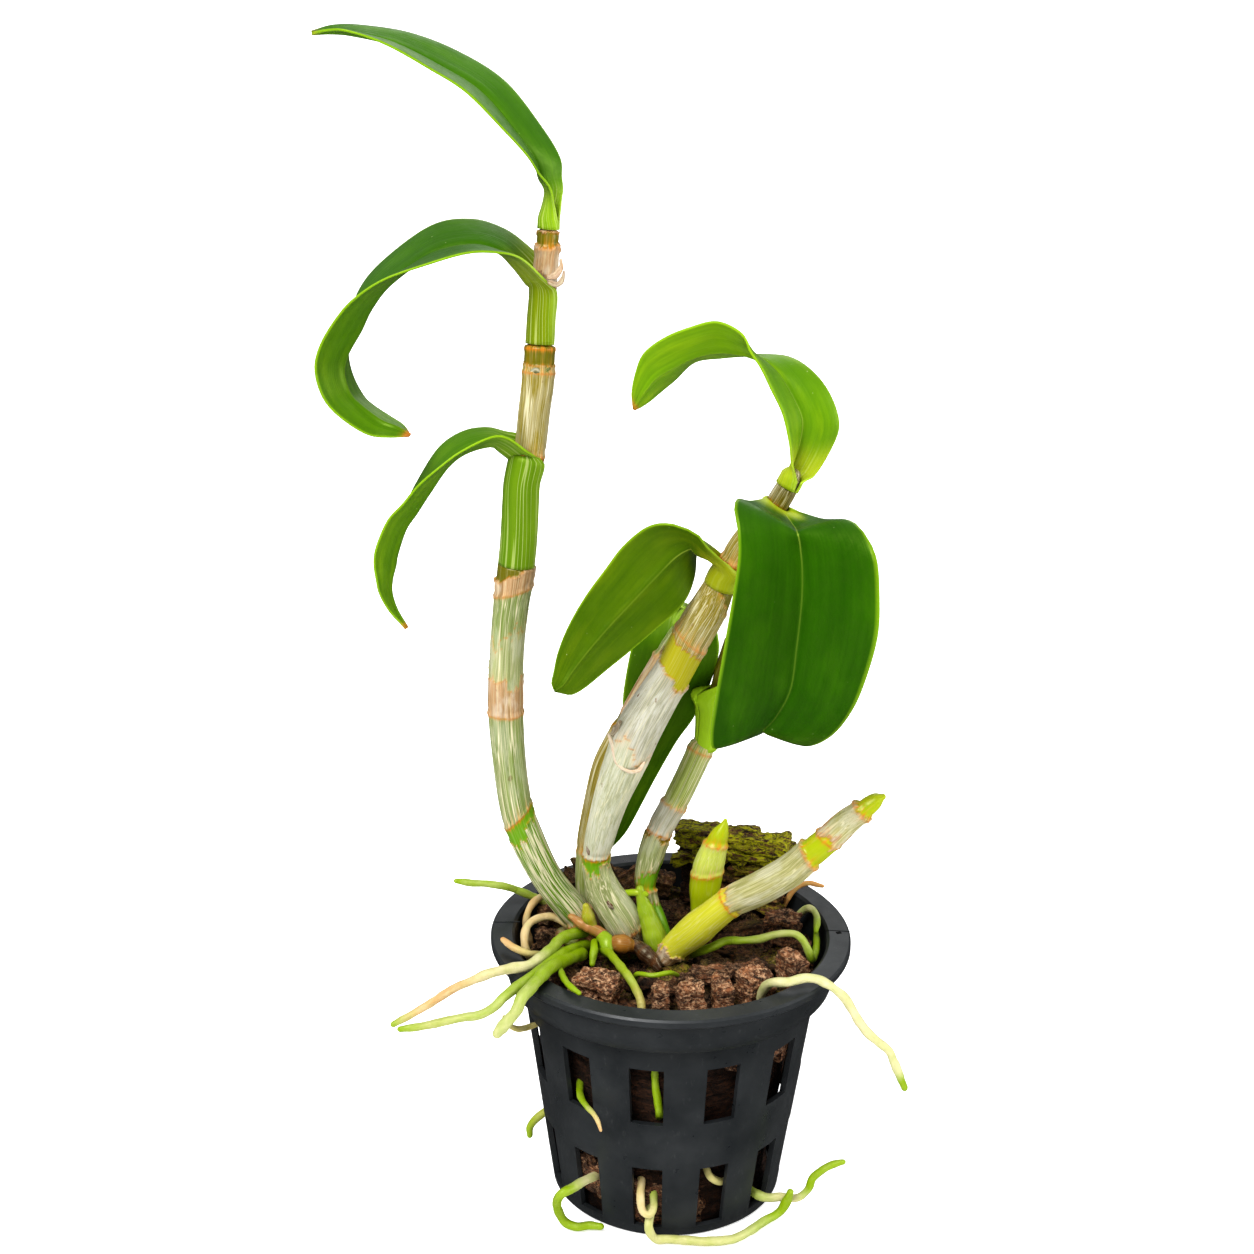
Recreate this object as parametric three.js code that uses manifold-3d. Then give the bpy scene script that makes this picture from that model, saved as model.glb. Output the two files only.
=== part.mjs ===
// A small potted dendrobium orchid, in millimetres, +Z up. The origin is the
// centre of the pot's base, and the plant is seen from -Y with +X to the right.
import * as THREE from 'three';
import { mergeVertices } from 'three/addons/utils/BufferGeometryUtils.js';
import Module from 'manifold-3d';

const wasm = await Module();
wasm.setup();

// Driving dimensions
const POT_HEIGHT = 70;
const POT_FOOT_RADIUS = 29.2;
const WALL_SPREAD = 0.138;
const WALL_THICKNESS = 1.4;
const FLOOR_THICKNESS = 1.6;
const COLLAR_FOOT = 58.8;
const COLLAR_RADIUS_LOW = 40.6;
const COLLAR_RADIUS_HIGH = 43;
const RIM_RADIUS = 45;
const RIM_DROP = 2.4;
const MOUTH_RADIUS = 39;
const POT_SIDES = 36;
const SLOTS_IN_ROW = 12;
const SLOT_PHASE = -9.6;
const SLOT_HALF_ANGLE = 6.7;
const SLOT_ROWS = [[3.1, 21.3], [35.1, 51.4]];
const DRAIN_SLOTS = 6;
const DRAIN_SLOT_SIZE = [14, 4];
const DRAIN_SLOT_RADIUS = 18;

const CLEARANCE = 0.3;
const LEAF_THICKNESS = 0.8;
const SHEATH_WALL = 0.8;
const CANE_SIDES = 10;
const CANE_STEP = 9;
const ROOT_SIDES = 6;
const ROOT_STEP = 4;
const BARK_SETTLE = 62;
const BARK_RING_CHUNKS = 8;
const BARK_LAYERS = [[9, 13], [23, 13], [37, 14], [50.5, 12]];

// Each cane is a line of points with a radius at each: x, y, z, radius. A sheath is
// the stretch between two heights where a leaf's foot wraps the cane.
const CANES = {
  cane_tall: {
    line: [
      [-20.5, 3, 67.5, 3.2], [-23.1, 3, 71.7, 3.9], [-30.9, 2, 82.9, 3.8], [-36.3, 0, 95.8, 4.1],
      [-38.6, -1, 104.6, 3.9], [-40, -2, 117, 3.9], [-40.7, -3, 129.7, 4.1], [-40.4, -3, 142.5, 3.9],
      [-39.5, -3, 154, 4], [-38, -3, 165, 4.4], [-37.2, -3, 173, 4.4], [-36.3, -3, 186.6, 4.1],
      [-34.7, -2, 193.7, 3.5], [-33.6, -2, 203, 3.5], [-32.8, -1, 209.6, 3.6], [-32.3, 0, 219, 3.4],
      [-31.7, 1, 228, 3], [-31, 2, 236.8, 2.5], [-30.6, 3, 242.6, 2.4], [-30.4, 3, 245.5, 1.4],
    ],
    sheaths: { low: [166, 191, 4.4], middle: [217, 229.5, 3.4], top: [242.4, 246.4, 2.6] },
  },
  cane_middle: {
    line: [
      [-9.5, 0, 66.5, 3.2], [-10.8, 0, 69.5, 4.2], [-12.6, 0, 73.5, 4.6], [-16.8, 1, 80.1, 4.2],
      [-18.8, 1, 87.7, 3.3], [-17.7, 0, 96.1, 3.6], [-15.4, -1, 105.7, 4.2], [-12.2, -2, 115.4, 5],
      [-9, -3, 124.7, 5.3], [-4.4, -4, 133.9, 4.8], [-0.4, -5, 141.4, 4.5], [3.5, -6, 150.4, 4.6],
      [7.6, -7, 158.5, 4.2], [11.1, -8, 167.2, 3], [14.4, -9, 174, 2.7], [18, -10, 179, 2.6],
      [21.6, -10, 183.3, 2.6], [24.3, -10, 188.2, 2.4], [25.5, -10, 190.5, 1.4],
    ],
    sheaths: { left: [162.5, 167, 3.9], front: [179.6, 183.4, 3.3], top: [187.2, 190, 2.9] },
  },
  cane_right: {
    line: [
      [-1.8, 4, 66, 2.2], [-3.6, 4, 70.5, 2.6], [-6.4, 6, 78.2, 2.6], [-5, 8, 87.1, 3.2],
      [-2.4, 9, 94.6, 3.1], [1.3, 10, 101.8, 3.1], [5.5, 11, 111.2, 3.1], [9, 12, 120, 3.1],
      [11, 12.5, 127, 2.8], [12.5, 13, 135, 2.6], [13.5, 13.5, 142, 1.6],
    ],
    sheaths: { right: [118.5, 128.5, 3.7] },
  },
  cane_hidden: {
    line: [
      [-18.5, 11, 65, 2.6], [-21, 12, 75, 3], [-21.2, 12, 85.4, 2.7], [-20.4, 12, 92.4, 2.8],
      [-17.4, 11, 108, 3], [-14.4, 10.5, 115.5, 3.1], [-10.5, 10, 123, 3.1], [-5.5, 10, 133, 3],
      [0, 10, 143, 2.8], [5, 10, 151.5, 2.4], [6.6, 10, 154.4, 1.2],
    ],
    sheaths: { hidden: [145.5, 150.5, 3.4] },
  },
  cane_young: {
    line: [
      [-1.2, -6, 65.6, 2.4], [0.8, -6, 68.1, 3.4], [6.2, -7, 73.9, 4.2], [9.6, -8, 77.7, 3.9],
      [14.7, -9, 82.7, 3.7], [21.9, -10, 87.2, 3.9], [28.2, -11, 92, 3.8], [32.6, -12, 96.9, 3.5],
      [37, -13, 101.6, 3.2], [41.1, -13, 106.1, 2.9], [44.4, -14, 109.4, 2.5], [47.6, -14, 112.2, 1.9],
      [49.2, -14, 113.2, 0.8],
    ],
    sheaths: {},
  },
  shoot_new: {
    line: [
      [7.5, 5, 66, 2], [8.2, 6, 73.9, 3.2], [8.5, 6, 79, 3.9], [9.3, 6, 84.4, 3.9],
      [10.5, 6, 89.1, 3.3], [11.9, 6, 93.4, 2.3], [12.9, 6, 96, 1.2], [13.2, 6, 97.4, 0.5],
    ],
    sheaths: {},
  },
};

const RHIZOME = [
  [-27, 4, 66, 2.2], [-23.5, 4, 65.5, 3.4], [-18, 4.5, 64, 3.4], [-12, 3, 63.5, 3.8],
  [-6, 2.5, 64.5, 3.3], [-1, -2, 64.5, 3.2], [3, -3, 65, 2.4],
];
const RHIZOME_BUDS = [[-12.4, -5.4, 65.6, 2.5], [-20.6, -2.4, 70.6, 1.7]];

// Each leaf row: the point midway between the margins, the vector from one margin to
// the other, and how far the midrib sinks below the line between them.
const LEAVES = {
  leaf_tall_top: {
    cane: 'cane_tall', sheath: 'top',
    rows: [
      [-30, 3, 244, 3.2, 3, -0.8, 2.2], [-28.5, 3, 248, 1, 4, -0.8, 3.6], [-28, 3, 251, 2.2, 5.5, -0.7, 4],
      [-30, 3, 254, 4.6, 8.6, -2, 3.5], [-31, 2, 258, 7, 12, -2.2, 2.5], [-36, 1, 265, 7.4, 15.3, -0.6, 2],
      [-44, 0, 274, 7.5, 16.3, 1.1, 1.8], [-53, -1, 279.5, 5.3, 16.5, 2.4, 1.6],
      [-63, -2, 284, 4.2, 14.3, 1.5, 1.4], [-72, -3, 286, 2.1, 10.8, 0.6, 1.2],
      [-77, -3, 286, 0.6, 5.9, 0.7, 0.8], [-81, -3, 285, -0.2, 0.9, 0.2, 0],
    ],
  },
  leaf_tall_middle: {
    cane: 'cane_tall', sheath: 'middle',
    rows: [
      [-29.5, 1, 229, -0.4, 6.2, 2, 5.4], [-31.5, 1, 234, -0.5, 9.8, 2.1, 5], [-36, 0, 238.5, 0.2, 15, 1, 4],
      [-41, -1, 241, -0.1, 17.7, 3, 2.5], [-48, -2, 242, -0.6, 19.4, 4.8, 2], [-57, -3, 240, -0.6, 19.7, 5.6, 2],
      [-67, -4, 234.5, -3, 20.3, 0.5, 3], [-73, -5, 229, -1.8, 19.8, -1.9, 4], [-76, -6, 223, 0.6, 18.4, -4.7, 4],
      [-78, -7, 217, 3.6, 17.4, -5.3, 3], [-78, -8, 212, 6, 16.3, -4.8, 2], [-76, -9, 207, 6.9, 14.2, -2.5, 1.5],
      [-73, -10, 204, 5.6, 11.8, 0.3, 1.5], [-68, -11, 201, 4.4, 8.1, 2.2, 1.2],
      [-64, -12, 200, 2.6, 5.2, 1.6, 0.8], [-61, -12, 199, 0.2, 0.9, 0.2, 0],
    ],
  },
  leaf_tall_low: {
    cane: 'cane_tall', sheath: 'low',
    rows: [
      [-32, -2, 190.5, -0.7, 6.4, 1.5, 6], [-35.5, -3, 195, -1.4, 7.7, 1.7, 5], [-40, -4, 197.5, -1.4, 9.9, -0.8, 4],
      [-44, -4, 198, -1.9, 11.8, -0.5, 3], [-50, -5, 196, -0.8, 13.4, 1.4, 2.5], [-55, -6, 192.5, -1.7, 13.9, 0.7, 2.5],
      [-60, -7, 186.5, -1.8, 13.5, -3.2, 3], [-63, -8, 182, -0.5, 13, -3.5, 3], [-66, -9, 178, 0.2, 12.4, -4, 3.2],
      [-68.5, -10, 172, 0.5, 11.4, -3.7, 3.6], [-69, -10, 168, 0.9, 10.4, -3.6, 3.4],
      [-68.5, -11, 164.5, 1.1, 8.4, -2.9, 2.2], [-68, -11, 161, 1.2, 6.4, -2.7, 1.6],
      [-66, -11, 157, 1.2, 3.6, -1.2, 0.8], [-63, -11, 153, 0.2, 0.9, 0.2, 0],
    ],
  },
  leaf_middle_top: {
    cane: 'cane_middle', sheath: 'top',
    rows: [
      [26.5, -11, 188, 3, 4, -2.6, 2.8], [27.5, -10, 191.5, 5.6, 5.2, -4, 4], [29, -9, 197, 10.2, 9, -3.5, 3.5],
      [29, -8, 203, 13.5, 9.4, -4.3, 3], [26.5, -7, 209, 13.9, 11, -3.1, 3], [23, -6, 214, 12.1, 13, -3.1, 2.5],
      [19, -5, 217, 9, 15.1, -3.9, 2], [14, -5, 219, 3.2, 15.8, -8, 2], [8, -5, 220, 1.9, 13.8, -10.7, 2.5],
      [2, -6, 219, 1.6, 13.4, -10.3, 2.5], [-3, -7, 216, 2.8, 9.5, -11.3, 2], [-7, -8, 213, 3.9, 5.5, -9.9, 1.6],
      [-9, -9, 210, 3.6, 2.7, -6.6, 1.2], [-10.5, -9, 207, 2.1, 2, -3.5, 0.6], [-11, -9, 205, 0.3, 0.8, -0.4, 0],
    ],
  },
  leaf_middle_front: {
    cane: 'cane_middle', sheath: 'front', ribs: 6,
    rows: [
      [22, -12.5, 182.5, -6.4, 0.9, 2.5, 2], [23, -20, 185, -15.6, 1.2, 3.6, 4], [24, -27, 187, -23.9, 6.8, 2.6, 6],
      [25, -32, 186, -27.6, 8.7, 2.4, 7], [26.5, -36, 182, -29.2, 10.1, 3, 7], [27, -38, 175, -29.8, 10.3, 5.1, 7],
      [26.5, -39, 167, -30.6, 11.2, 5.1, 7], [25, -38, 156, -30.9, 7.7, 3.2, 7], [23, -36, 145, -30.1, 7.2, -1, 6],
      [21, -32, 136, -27.4, 4.9, -3, 5], [19.5, -27, 131, -22, 0, -1, 3.5], [20.5, -20, 130, -13, 2.6, 0, 2],
      [21, -15, 132, -0.9, 0.3, 0, 0],
    ],
  },
  leaf_middle_left: {
    cane: 'cane_middle', sheath: 'left',
    rows: [
      [10, -9, 167.5, -2, 3, -5, 2.5], [7, -10, 173, 0.9, 8.9, -2, 3], [4, -10, 175.5, 0.7, 12.1, -4.7, 3],
      [1, -10, 175, 5.8, 12.1, -10.4, 2.5], [-2, -11, 172, 10.7, 6.6, -14.3, 2], [-6, -12, 167, 13.7, 2, -14.6, 2],
      [-11, -13, 161.5, 11.9, 1.6, -14.7, 1.8], [-16, -14, 156, 11, 1.2, -12.9, 1.6],
      [-21, -15, 150, 8.9, 1.1, -10.8, 1.4], [-24.5, -16, 145, 6.6, 0, -8.2, 1],
      [-26.5, -17, 142, 4.4, 0, -5.4, 0.8], [-27.8, -17, 140.8, 2.6, -0.4, -2.4, 0.4],
      [-28.3, -17, 140.2, 0.6, 0.2, -0.6, 0],
    ],
  },
  leaf_hidden: {
    cane: 'cane_hidden', sheath: 'hidden',
    rows: [
      [4, 8, 149, -4.5, 2, 2.4, 2.5], [5.5, 7.5, 152.5, -9, 3, 3.6, 2.6], [2.5, 9, 147.5, -16, 2, 5, 2],
      [0, 12, 140, -21.3, 0.6, 1.4, 2], [-2, 15, 129, -21, 0, -0.7, 2], [-4, 16.5, 120, -18, 0.1, -1.3, 1.8],
      [-7, 17.5, 113, -15.8, 1.4, -2, 1.6], [-11, 18, 103, -13.4, 0, -0.6, 1.4],
      [-13.5, 18, 95, -10.7, 0, 0, 1.2], [-15, 18, 89, -7.4, 0.2, 0.6, 0.8],
      [-16, 18, 85, -3.3, 0.6, 0.3, 0.4], [-16.3, 18, 83.5, -0.8, 0.4, 0, 0],
    ],
  },
  leaf_right: {
    cane: 'cane_right', sheath: 'right',
    rows: [
      [9.5, 12, 128.5, 0.3, -7.2, 2.1, 4.2], [13, 15, 131.5, 0.5, -11.5, 3.5, 3.4], [18, 20, 134.5, 0.8, -15.5, 4, 2.5],
      [26, 24, 137, 1, -17.5, 4, 2], [34, 28, 137, 1.3, -15.7, 3, 1.6], [40, 31, 134, 1, -10.8, 1.6, 1.2],
      [44, 33, 128, 0.8, -4.9, 0.4, 0.8], [46, 34, 125, 0.3, -0.8, 0.3, 0],
    ],
  },
};

// Aerial roots: a radius at the foot, a radius at the tip, and the line they follow.
const ROOTS = {
  root_left_long_upper: [1.15, 0.95, [
    [-20.3, 2.1, 68.5], [-26.5, -6.5, 71], [-29.7, -14.4, 71.6], [-34.1, -22.4, 71.9], [-38.5, -24.4, 72],
    [-43.5, -26.4, 71.6], [-48, -27.4, 70], [-52.2, -28, 68.2], [-59.3, -29, 63.6], [-66.2, -30, 59.7],
  ]],
  root_left_long_lower: [1.25, 1, [
    [-20.8, 0, 65.5], [-25.9, -9.4, 68.5], [-29.6, -20, 71], [-33.2, -28, 71.9], [-36.3, -32.6, 71.9],
    [-39.2, -36.5, 71.3], [-42, -38, 69], [-45.3, -38, 67.1], [-49.7, -38, 66.2], [-58.2, -38, 64],
    [-63.6, -38, 63.1],
  ]],
  root_left_hanging: [1.35, 1.5, [
    [-22, -6, 66], [-26.6, -15.6, 69.2], [-29.6, -24.5, 72], [-33.2, -33.6, 72.2], [-35.3, -37.6, 71.6],
    [-36.3, -38.4, 69], [-38.3, -38.4, 66.2], [-40.9, -38.4, 62.6],
  ]],
  root_left_raised: [1.05, 0.85, [
    [-27, 17, 62], [-32, 14.6, 69.4], [-36, 12.9, 72.6], [-39.8, 11.4, 75], [-42.8, 10, 76.6],
    [-46.7, 10, 77.1], [-50.5, 10, 77.3], [-54.3, 10, 77.8],
  ]],
  root_left_under: [0.8, 0.7, [
    [-27, -10.2, 49.6], [-31.6, -11.8, 50], [-35, -14.6, 50.3], [-37.4, -18.5, 52], [-39.3, -21, 54.6],
    [-40.4, -22, 57.2],
  ]],
  root_loop_outer: [0.95, 0.95, [
    [-26, 24, 63], [-30.5, 19.1, 69], [-33.2, 14.7, 71.2], [-35.2, 9.7, 71.6], [-36.2, 7.4, 70.2],
    [-36.6, 7, 66.5], [-35.5, 8.5, 61],
  ]],
  root_loop_inner: [1, 1, [
    [-24.4, 6, 65], [-26.3, 2.3, 70], [-29.6, 2.2, 72], [-33.4, 0.5, 72.4], [-35.8, -2.3, 71.7],
    [-36.4, -5.4, 69.6], [-35.6, -6.6, 66.5], [-33.5, -4, 62],
  ]],
  root_stub_dry: [1, 0.8, [
    [-28, -3, 63], [-31.9, -12.2, 69], [-35.1, -16, 71.5], [-38.7, -13.9, 72], [-41.3, -10.8, 72.3],
  ]],
  root_front_green: [1.1, 1, [
    [-17.4, -4.3, 66.5], [-15.6, -10.2, 69], [-13.5, -16.6, 70], [-11, -22.9, 70], [-9, -26.1, 68.4],
    [-7.4, -29.6, 66], [-7.2, -31, 62],
  ]],
  root_front_thin: [0.65, 0.6, [[-9, -17, 64.5], [-8.3, -20, 68.4], [-4.6, -22.4, 69.4], [-0.5, -20.6, 69.2], [1.6, -16, 66]]],
  root_short_green: [1.1, 0.9, [[-17.6, -1.8, 66], [-18.9, -5, 68.8], [-19, -9.3, 69], [-19.4, -11.6, 66.6]]],
  root_rim_small: [0.8, 0.75, [
    [-26.6, 0, 63], [-27.6, -12, 67], [-26.4, -24.3, 70.4], [-24.6, -30.7, 71.2], [-22.1, -34.4, 71.2],
  ]],
  root_right_across: [1.05, 0.9, [
    [3.6, 1, 62], [6.1, -4.6, 66], [10, -6.4, 68.6], [13.7, -5.6, 70], [17.8, -6, 70.4], [21.8, -6.3, 71],
    [25.9, -6.8, 72.6], [30.3, -7.2, 73], [32.4, -8.6, 72], [34, -9.4, 69], [34.9, -8.2, 66.4],
    [36, -4.4, 66.2], [36.6, -1.4, 67], [36.8, 2.5, 68],
  ]],
  root_right_inside: [0.95, 0.85, [[30, 17, 61], [34.4, 12.6, 69.4], [36.4, 8.4, 71.6], [37, 4, 71.4], [36.4, -0.2, 70.4]]],
  root_right_over: [1.15, 1.05, [
    [20, -23, 61], [22, -26.8, 69], [24, -29.4, 71.8], [27, -30.2, 72.4], [30.8, -28.6, 72.6],
    [33.9, -28.3, 72.3], [36.8, -29.2, 71.3], [39.1, -30, 69.9], [41.3, -30, 67.5], [44.7, -30, 61.6],
    [47, -30, 58.6], [50, -30, 55.9], [52, -30, 54.1], [53.4, -30, 51.1], [56.2, -30, 44.2],
  ]],
  root_back_dark: [0.8, 0.6, [[27.5, 19.5, 61], [31.6, 20, 70.4], [35.4, 19.6, 73.6], [39.4, 17.4, 74]]],
  root_foot_left: [1.15, 1.15, [
    [-14.5, -18, 11.6], [-17.6, -22.8, 13.4], [-20.4, -27, 14.8], [-23.6, -31, 15.2], [-26.4, -32.6, 14.4],
    [-27.4, -30, 10], [-26.8, -27.6, 5.4], [-25.3, -27.2, 2.6], [-22.5, -27.8, 1.8], [-19.3, -27.2, 1.8],
    [-16.8, -27.6, 1.8],
  ]],
  root_side_left: [1.05, 1, [
    [-25, 4.2, 15], [-29.9, 5, 14.7], [-32, 5, 13.5], [-34.5, 5, 11.1], [-35.8, 5, 8.7], [-35.8, 5, 6.6],
  ]],
  root_slot_tan: [1, 0.95, [
    [-6.4, -23.5, 15.6], [-6.8, -29.3, 12.6], [-6.4, -31.8, 9.9], [-4.9, -32.8, 9.1], [-3.6, -31.4, 10],
    [-3.6, -26, 11.6],
  ]],
  root_foot_front: [1.15, 1.1, [
    [-4.2, -24, 7.6], [-4.5, -30.6, 7.4], [-4.6, -32.8, 4.8], [-2.9, -32.4, 1.9], [0.4, -32.2, 1.7],
    [4.1, -32.4, 1.6], [10, -32.8, 1.6], [16.2, -31.6, 1.6], [20.4, -28.4, 1.6], [24.2, -24.4, 1.6],
    [28.2, -21.8, 2.5], [30, -22, 6], [30.6, -23, 9.2],
  ]],
  root_foot_right: [1.15, 0.9, [
    [19, -16, 6.5], [23.2, -19.2, 5.6], [25.8, -20, 5.5], [28.2, -20, 5.8], [31.3, -20, 5.4], [33.6, -20, 6],
    [35.5, -20, 8.4], [36.4, -20, 11.4], [38.3, -20, 13.5], [41, -20, 15.3], [43.6, -20, 16.2],
  ]],
  root_slot_upright: [1, 0.95, [[-4, -25, 53], [-3.9, -30.2, 49.2], [-3.7, -31.4, 45], [-3, -31.3, 40], [-2.6, -30.6, 36.4], [-2.6, -25, 31]]],
  root_slot_tail: [0.95, 0.45, [[-22, -20, 38.6], [-21.8, -26, 38.2], [-20.2, -30.6, 38.2], [-18.6, -33, 37.8], [-17.4, -34.2, 36.4], [-16.7, -34.6, 34.2]]],
  root_slot_cross: [0.95, 0.9, [[8.5, -23, 20.4], [10, -26.6, 16.6], [12.8, -25.2, 13.7], [16, -19, 10.2]]],
};

// Loose pieces of bark on the top: centre, size, turn about +Z and seed.
const BARK = {
  bark_mossy_back: { at: [16, 23.2, 75.5], size: [31, 8, 26], turn: -22, seed: 3, cuts: [4, 2, 3], colour: 0x5b5220 },
  bark_golden_left: { at: [-18.2, -24.6, 66.4], size: [11.5, 8.5, 8], turn: -18, seed: 5, cuts: [2, 2, 2], colour: 0x8a5a2a },
  bark_front_first: { at: [-3, -28.4, 65.6], size: [5.2, 7.5, 9], turn: 4, seed: 7, cuts: [1, 2, 2], colour: 0x6f4638 },
  bark_front_second: { at: [4.4, -28.4, 66], size: [7.6, 8, 9.4], turn: 7, seed: 11, cuts: [2, 2, 2], colour: 0x714536 },
  bark_front_third: { at: [11.6, -27.2, 66.4], size: [5.6, 8, 9.4], turn: 18, seed: 13, cuts: [1, 2, 2], colour: 0x6a4031 },
  bark_front_fourth: { at: [20, -22.4, 65.6], size: [9.4, 7.6, 9.6], turn: 36, seed: 17, cuts: [2, 2, 2], colour: 0x6f4435 },
  bark_front_fifth: { at: [29.2, -14.6, 66.6], size: [5.6, 9, 10], turn: 38, seed: 19, cuts: [1, 2, 2], colour: 0x70473a },
  bark_plate: { at: [14, -14.4, 66.4], size: [19, 6.4, 3.2], turn: 16, seed: 23, cuts: [3, 1, 1], colour: 0x5a3f30 },
  bark_block_right: { at: [28.6, 6.2, 67.4], size: [9, 8, 8.4], turn: -8, seed: 29, cuts: [2, 2, 2], colour: 0x4b3428 },
  bark_small_right: { at: [33.6, -1.8, 65.6], size: [3, 6.4, 6], turn: 6, seed: 31, cuts: [1, 2, 1], colour: 0x5c4234 },
  bark_sliver_left: { at: [-22.2, 25, 70], size: [6.5, 4, 16], turn: 40, seed: 37, cuts: [1, 1, 2], colour: 0x4a3326 },
};

const wallRadius = (z) => POT_FOOT_RADIUS + WALL_SPREAD * z;

// A repeatable stream of numbers from 0 to 1.
function randomStream(seed) {
  let state = seed * 2654435761 >>> 0;
  return () => {
    state = (Math.imul(state ^ (state >>> 15), 2246822519) + 0x9e3779b9) >>> 0;
    return ((state ^ (state >>> 13)) >>> 0) / 4294967296;
  };
}

function signedVolume(positions, triangles) {
  let volume = 0;
  for (let i = 0; i < triangles.length; i += 3) {
    const [a, b, c] = [0, 1, 2].map((k) => new THREE.Vector3().fromArray(positions, 3 * triangles[i + k]));
    volume += a.dot(b.cross(c)) / 6;
  }
  return volume;
}

// A closed solid from positions and triangles, turned the right way out.
function solidFrom(positions, triangles) {
  const faces = signedVolume(positions, triangles) > 0
    ? triangles
    : triangles.map((_, i) => triangles[i - (i % 3) + [0, 2, 1][i % 3]]);
  return new wasm.Manifold(new wasm.Mesh({
    numProp: 3,
    vertProperties: new Float32Array(positions),
    triVerts: new Uint32Array(faces),
  }));
}

function solidFromGeometry(geometry) {
  geometry.deleteAttribute('normal');
  geometry.deleteAttribute('uv');
  const merged = mergeVertices(geometry, 1e-4);
  const index = Array.from(merged.index.array);
  const kept = [];
  for (let i = 0; i < index.length; i += 3) {
    const [a, b, c] = index.slice(i, i + 3);
    if (a !== b && b !== c && c !== a) kept.push(a, b, c);
  }
  return solidFrom(Array.from(merged.attributes.position.array), kept);
}

// A body of revolution about +Z from radius and height pairs that start and end on the axis.
function turned(profile, sides) {
  const points = profile.map(([radius, height]) => new THREE.Vector2(radius, height));
  const geometry = new THREE.LatheGeometry(points, sides);
  geometry.rotateX(Math.PI / 2);
  return solidFromGeometry(geometry);
}

// One smooth line through rows of numbers, read at t from 0 to 1.
function smoothRows(rows) {
  const last = rows.length - 1;
  return (t) => {
    const place = Math.min(Math.max(t, 0), 1) * last;
    const i = Math.min(Math.floor(place), last - 1);
    const u = place - i;
    return rows[0].map((_, k) => {
      const p1 = rows[i][k];
      const p2 = rows[i + 1][k];
      const p0 = i > 0 ? rows[i - 1][k] : 2 * p1 - p2;
      const p3 = i + 2 <= last ? rows[i + 2][k] : 2 * p2 - p1;
      return 0.5 * (2 * p1 + (p2 - p0) * u + (2 * p0 - 5 * p1 + 4 * p2 - p3) * u * u
        + (3 * p1 - p0 - 3 * p2 + p3) * u * u * u);
    });
  };
}

// A round bar through rings of centre and radius, with flat ends that reach out by a margin.
function bar(rings, sides, margin = 0) {
  const centres = rings.map((ring) => new THREE.Vector3(ring[0], ring[1], ring[2]));
  const reachOut = (end, next) => {
    const outward = centres[end].clone().sub(centres[next]).normalize();
    centres[end].addScaledVector(outward, margin);
  };
  reachOut(0, 1);
  reachOut(rings.length - 1, rings.length - 2);
  const positions = [];
  const triangles = [];
  let side = new THREE.Vector3(1, 0, 0);
  centres.forEach((centre, i) => {
    const ahead = centres[Math.min(i + 1, centres.length - 1)];
    const behind = centres[Math.max(i - 1, 0)];
    const along = ahead.clone().sub(behind).normalize();
    side = side.clone().addScaledVector(along, -side.dot(along)).normalize();
    const other = along.clone().cross(side);
    for (let k = 0; k < sides; k += 1) {
      const angle = 2 * Math.PI * k / sides;
      const point = centre.clone()
        .addScaledVector(side, rings[i][3] * Math.cos(angle))
        .addScaledVector(other, rings[i][3] * Math.sin(angle));
      positions.push(point.x, point.y, point.z);
    }
  });
  for (let i = 0; i + 1 < rings.length; i += 1) {
    for (let k = 0; k < sides; k += 1) {
      const a = i * sides + k;
      const b = i * sides + (k + 1) % sides;
      triangles.push(a, b, a + sides, b, b + sides, a + sides);
    }
  }
  const top = (rings.length - 1) * sides;
  for (let k = 1; k + 1 < sides; k += 1) {
    triangles.push(0, k + 1, k, top, top + k, top + k + 1);
  }
  return solidFrom(positions, triangles);
}

function lineLength(read) {
  let length = 0;
  let before = read(0);
  for (let i = 1; i <= 60; i += 1) {
    const here = read(i / 60);
    length += Math.hypot(here[0] - before[0], here[1] - before[1], here[2] - before[2]);
    before = here;
  }
  return length;
}

// A cane, narrowed where a leaf's sheath wraps it. Grown by a margin it is the hole
// that its neighbours leave free.
function caneSolid(cane, margin = 0) {
  const read = smoothRows(cane.line);
  const steps = Math.round(lineLength(read) / CANE_STEP);
  const places = new Set();
  for (let i = 0; i <= steps; i += 1) places.add(i / steps);
  const ramp = 0.004;
  for (const [low, high] of Object.values(cane.sheaths)) {
    for (const height of [low - 0.9, high + 0.9]) {
      const t = heightToPlace(read, height);
      if (t > 0 && t < 1) {
        places.add(t - ramp);
        places.add(t + ramp);
      }
    }
  }
  const rings = [...places].sort((a, b) => a - b).map((t) => {
    const [x, y, z, radius] = read(t);
    const wrapped = Object.values(cane.sheaths).find(([low, high]) => z > low - 0.9 && z < high + 0.9);
    const core = wrapped ? Math.min(radius, wrapped[2] - SHEATH_WALL - CLEARANCE) : radius;
    return [x, y, z, core + margin];
  });
  return bar(rings, CANE_SIDES, margin);
}

// The place along a rising line where it reaches a height.
function heightToPlace(read, height) {
  let low = 0;
  let high = 1;
  for (let i = 0; i < 40; i += 1) {
    const middle = (low + high) / 2;
    if (read(middle)[2] < height) low = middle;
    else high = middle;
  }
  return (low + high) / 2;
}

function sheathSolid(cane, name) {
  const [low, high, radius] = cane.sheaths[name];
  const read = smoothRows(cane.line);
  const start = heightToPlace(read, low);
  const end = heightToPlace(read, high);
  const steps = Math.max(2, Math.round((high - low) / CANE_STEP));
  const rings = [];
  for (let i = 0; i <= steps; i += 1) {
    const [x, y, z] = read(start + (end - start) * i / steps);
    rings.push([x, y, z, radius]);
  }
  return bar(rings, CANE_SIDES);
}

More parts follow.
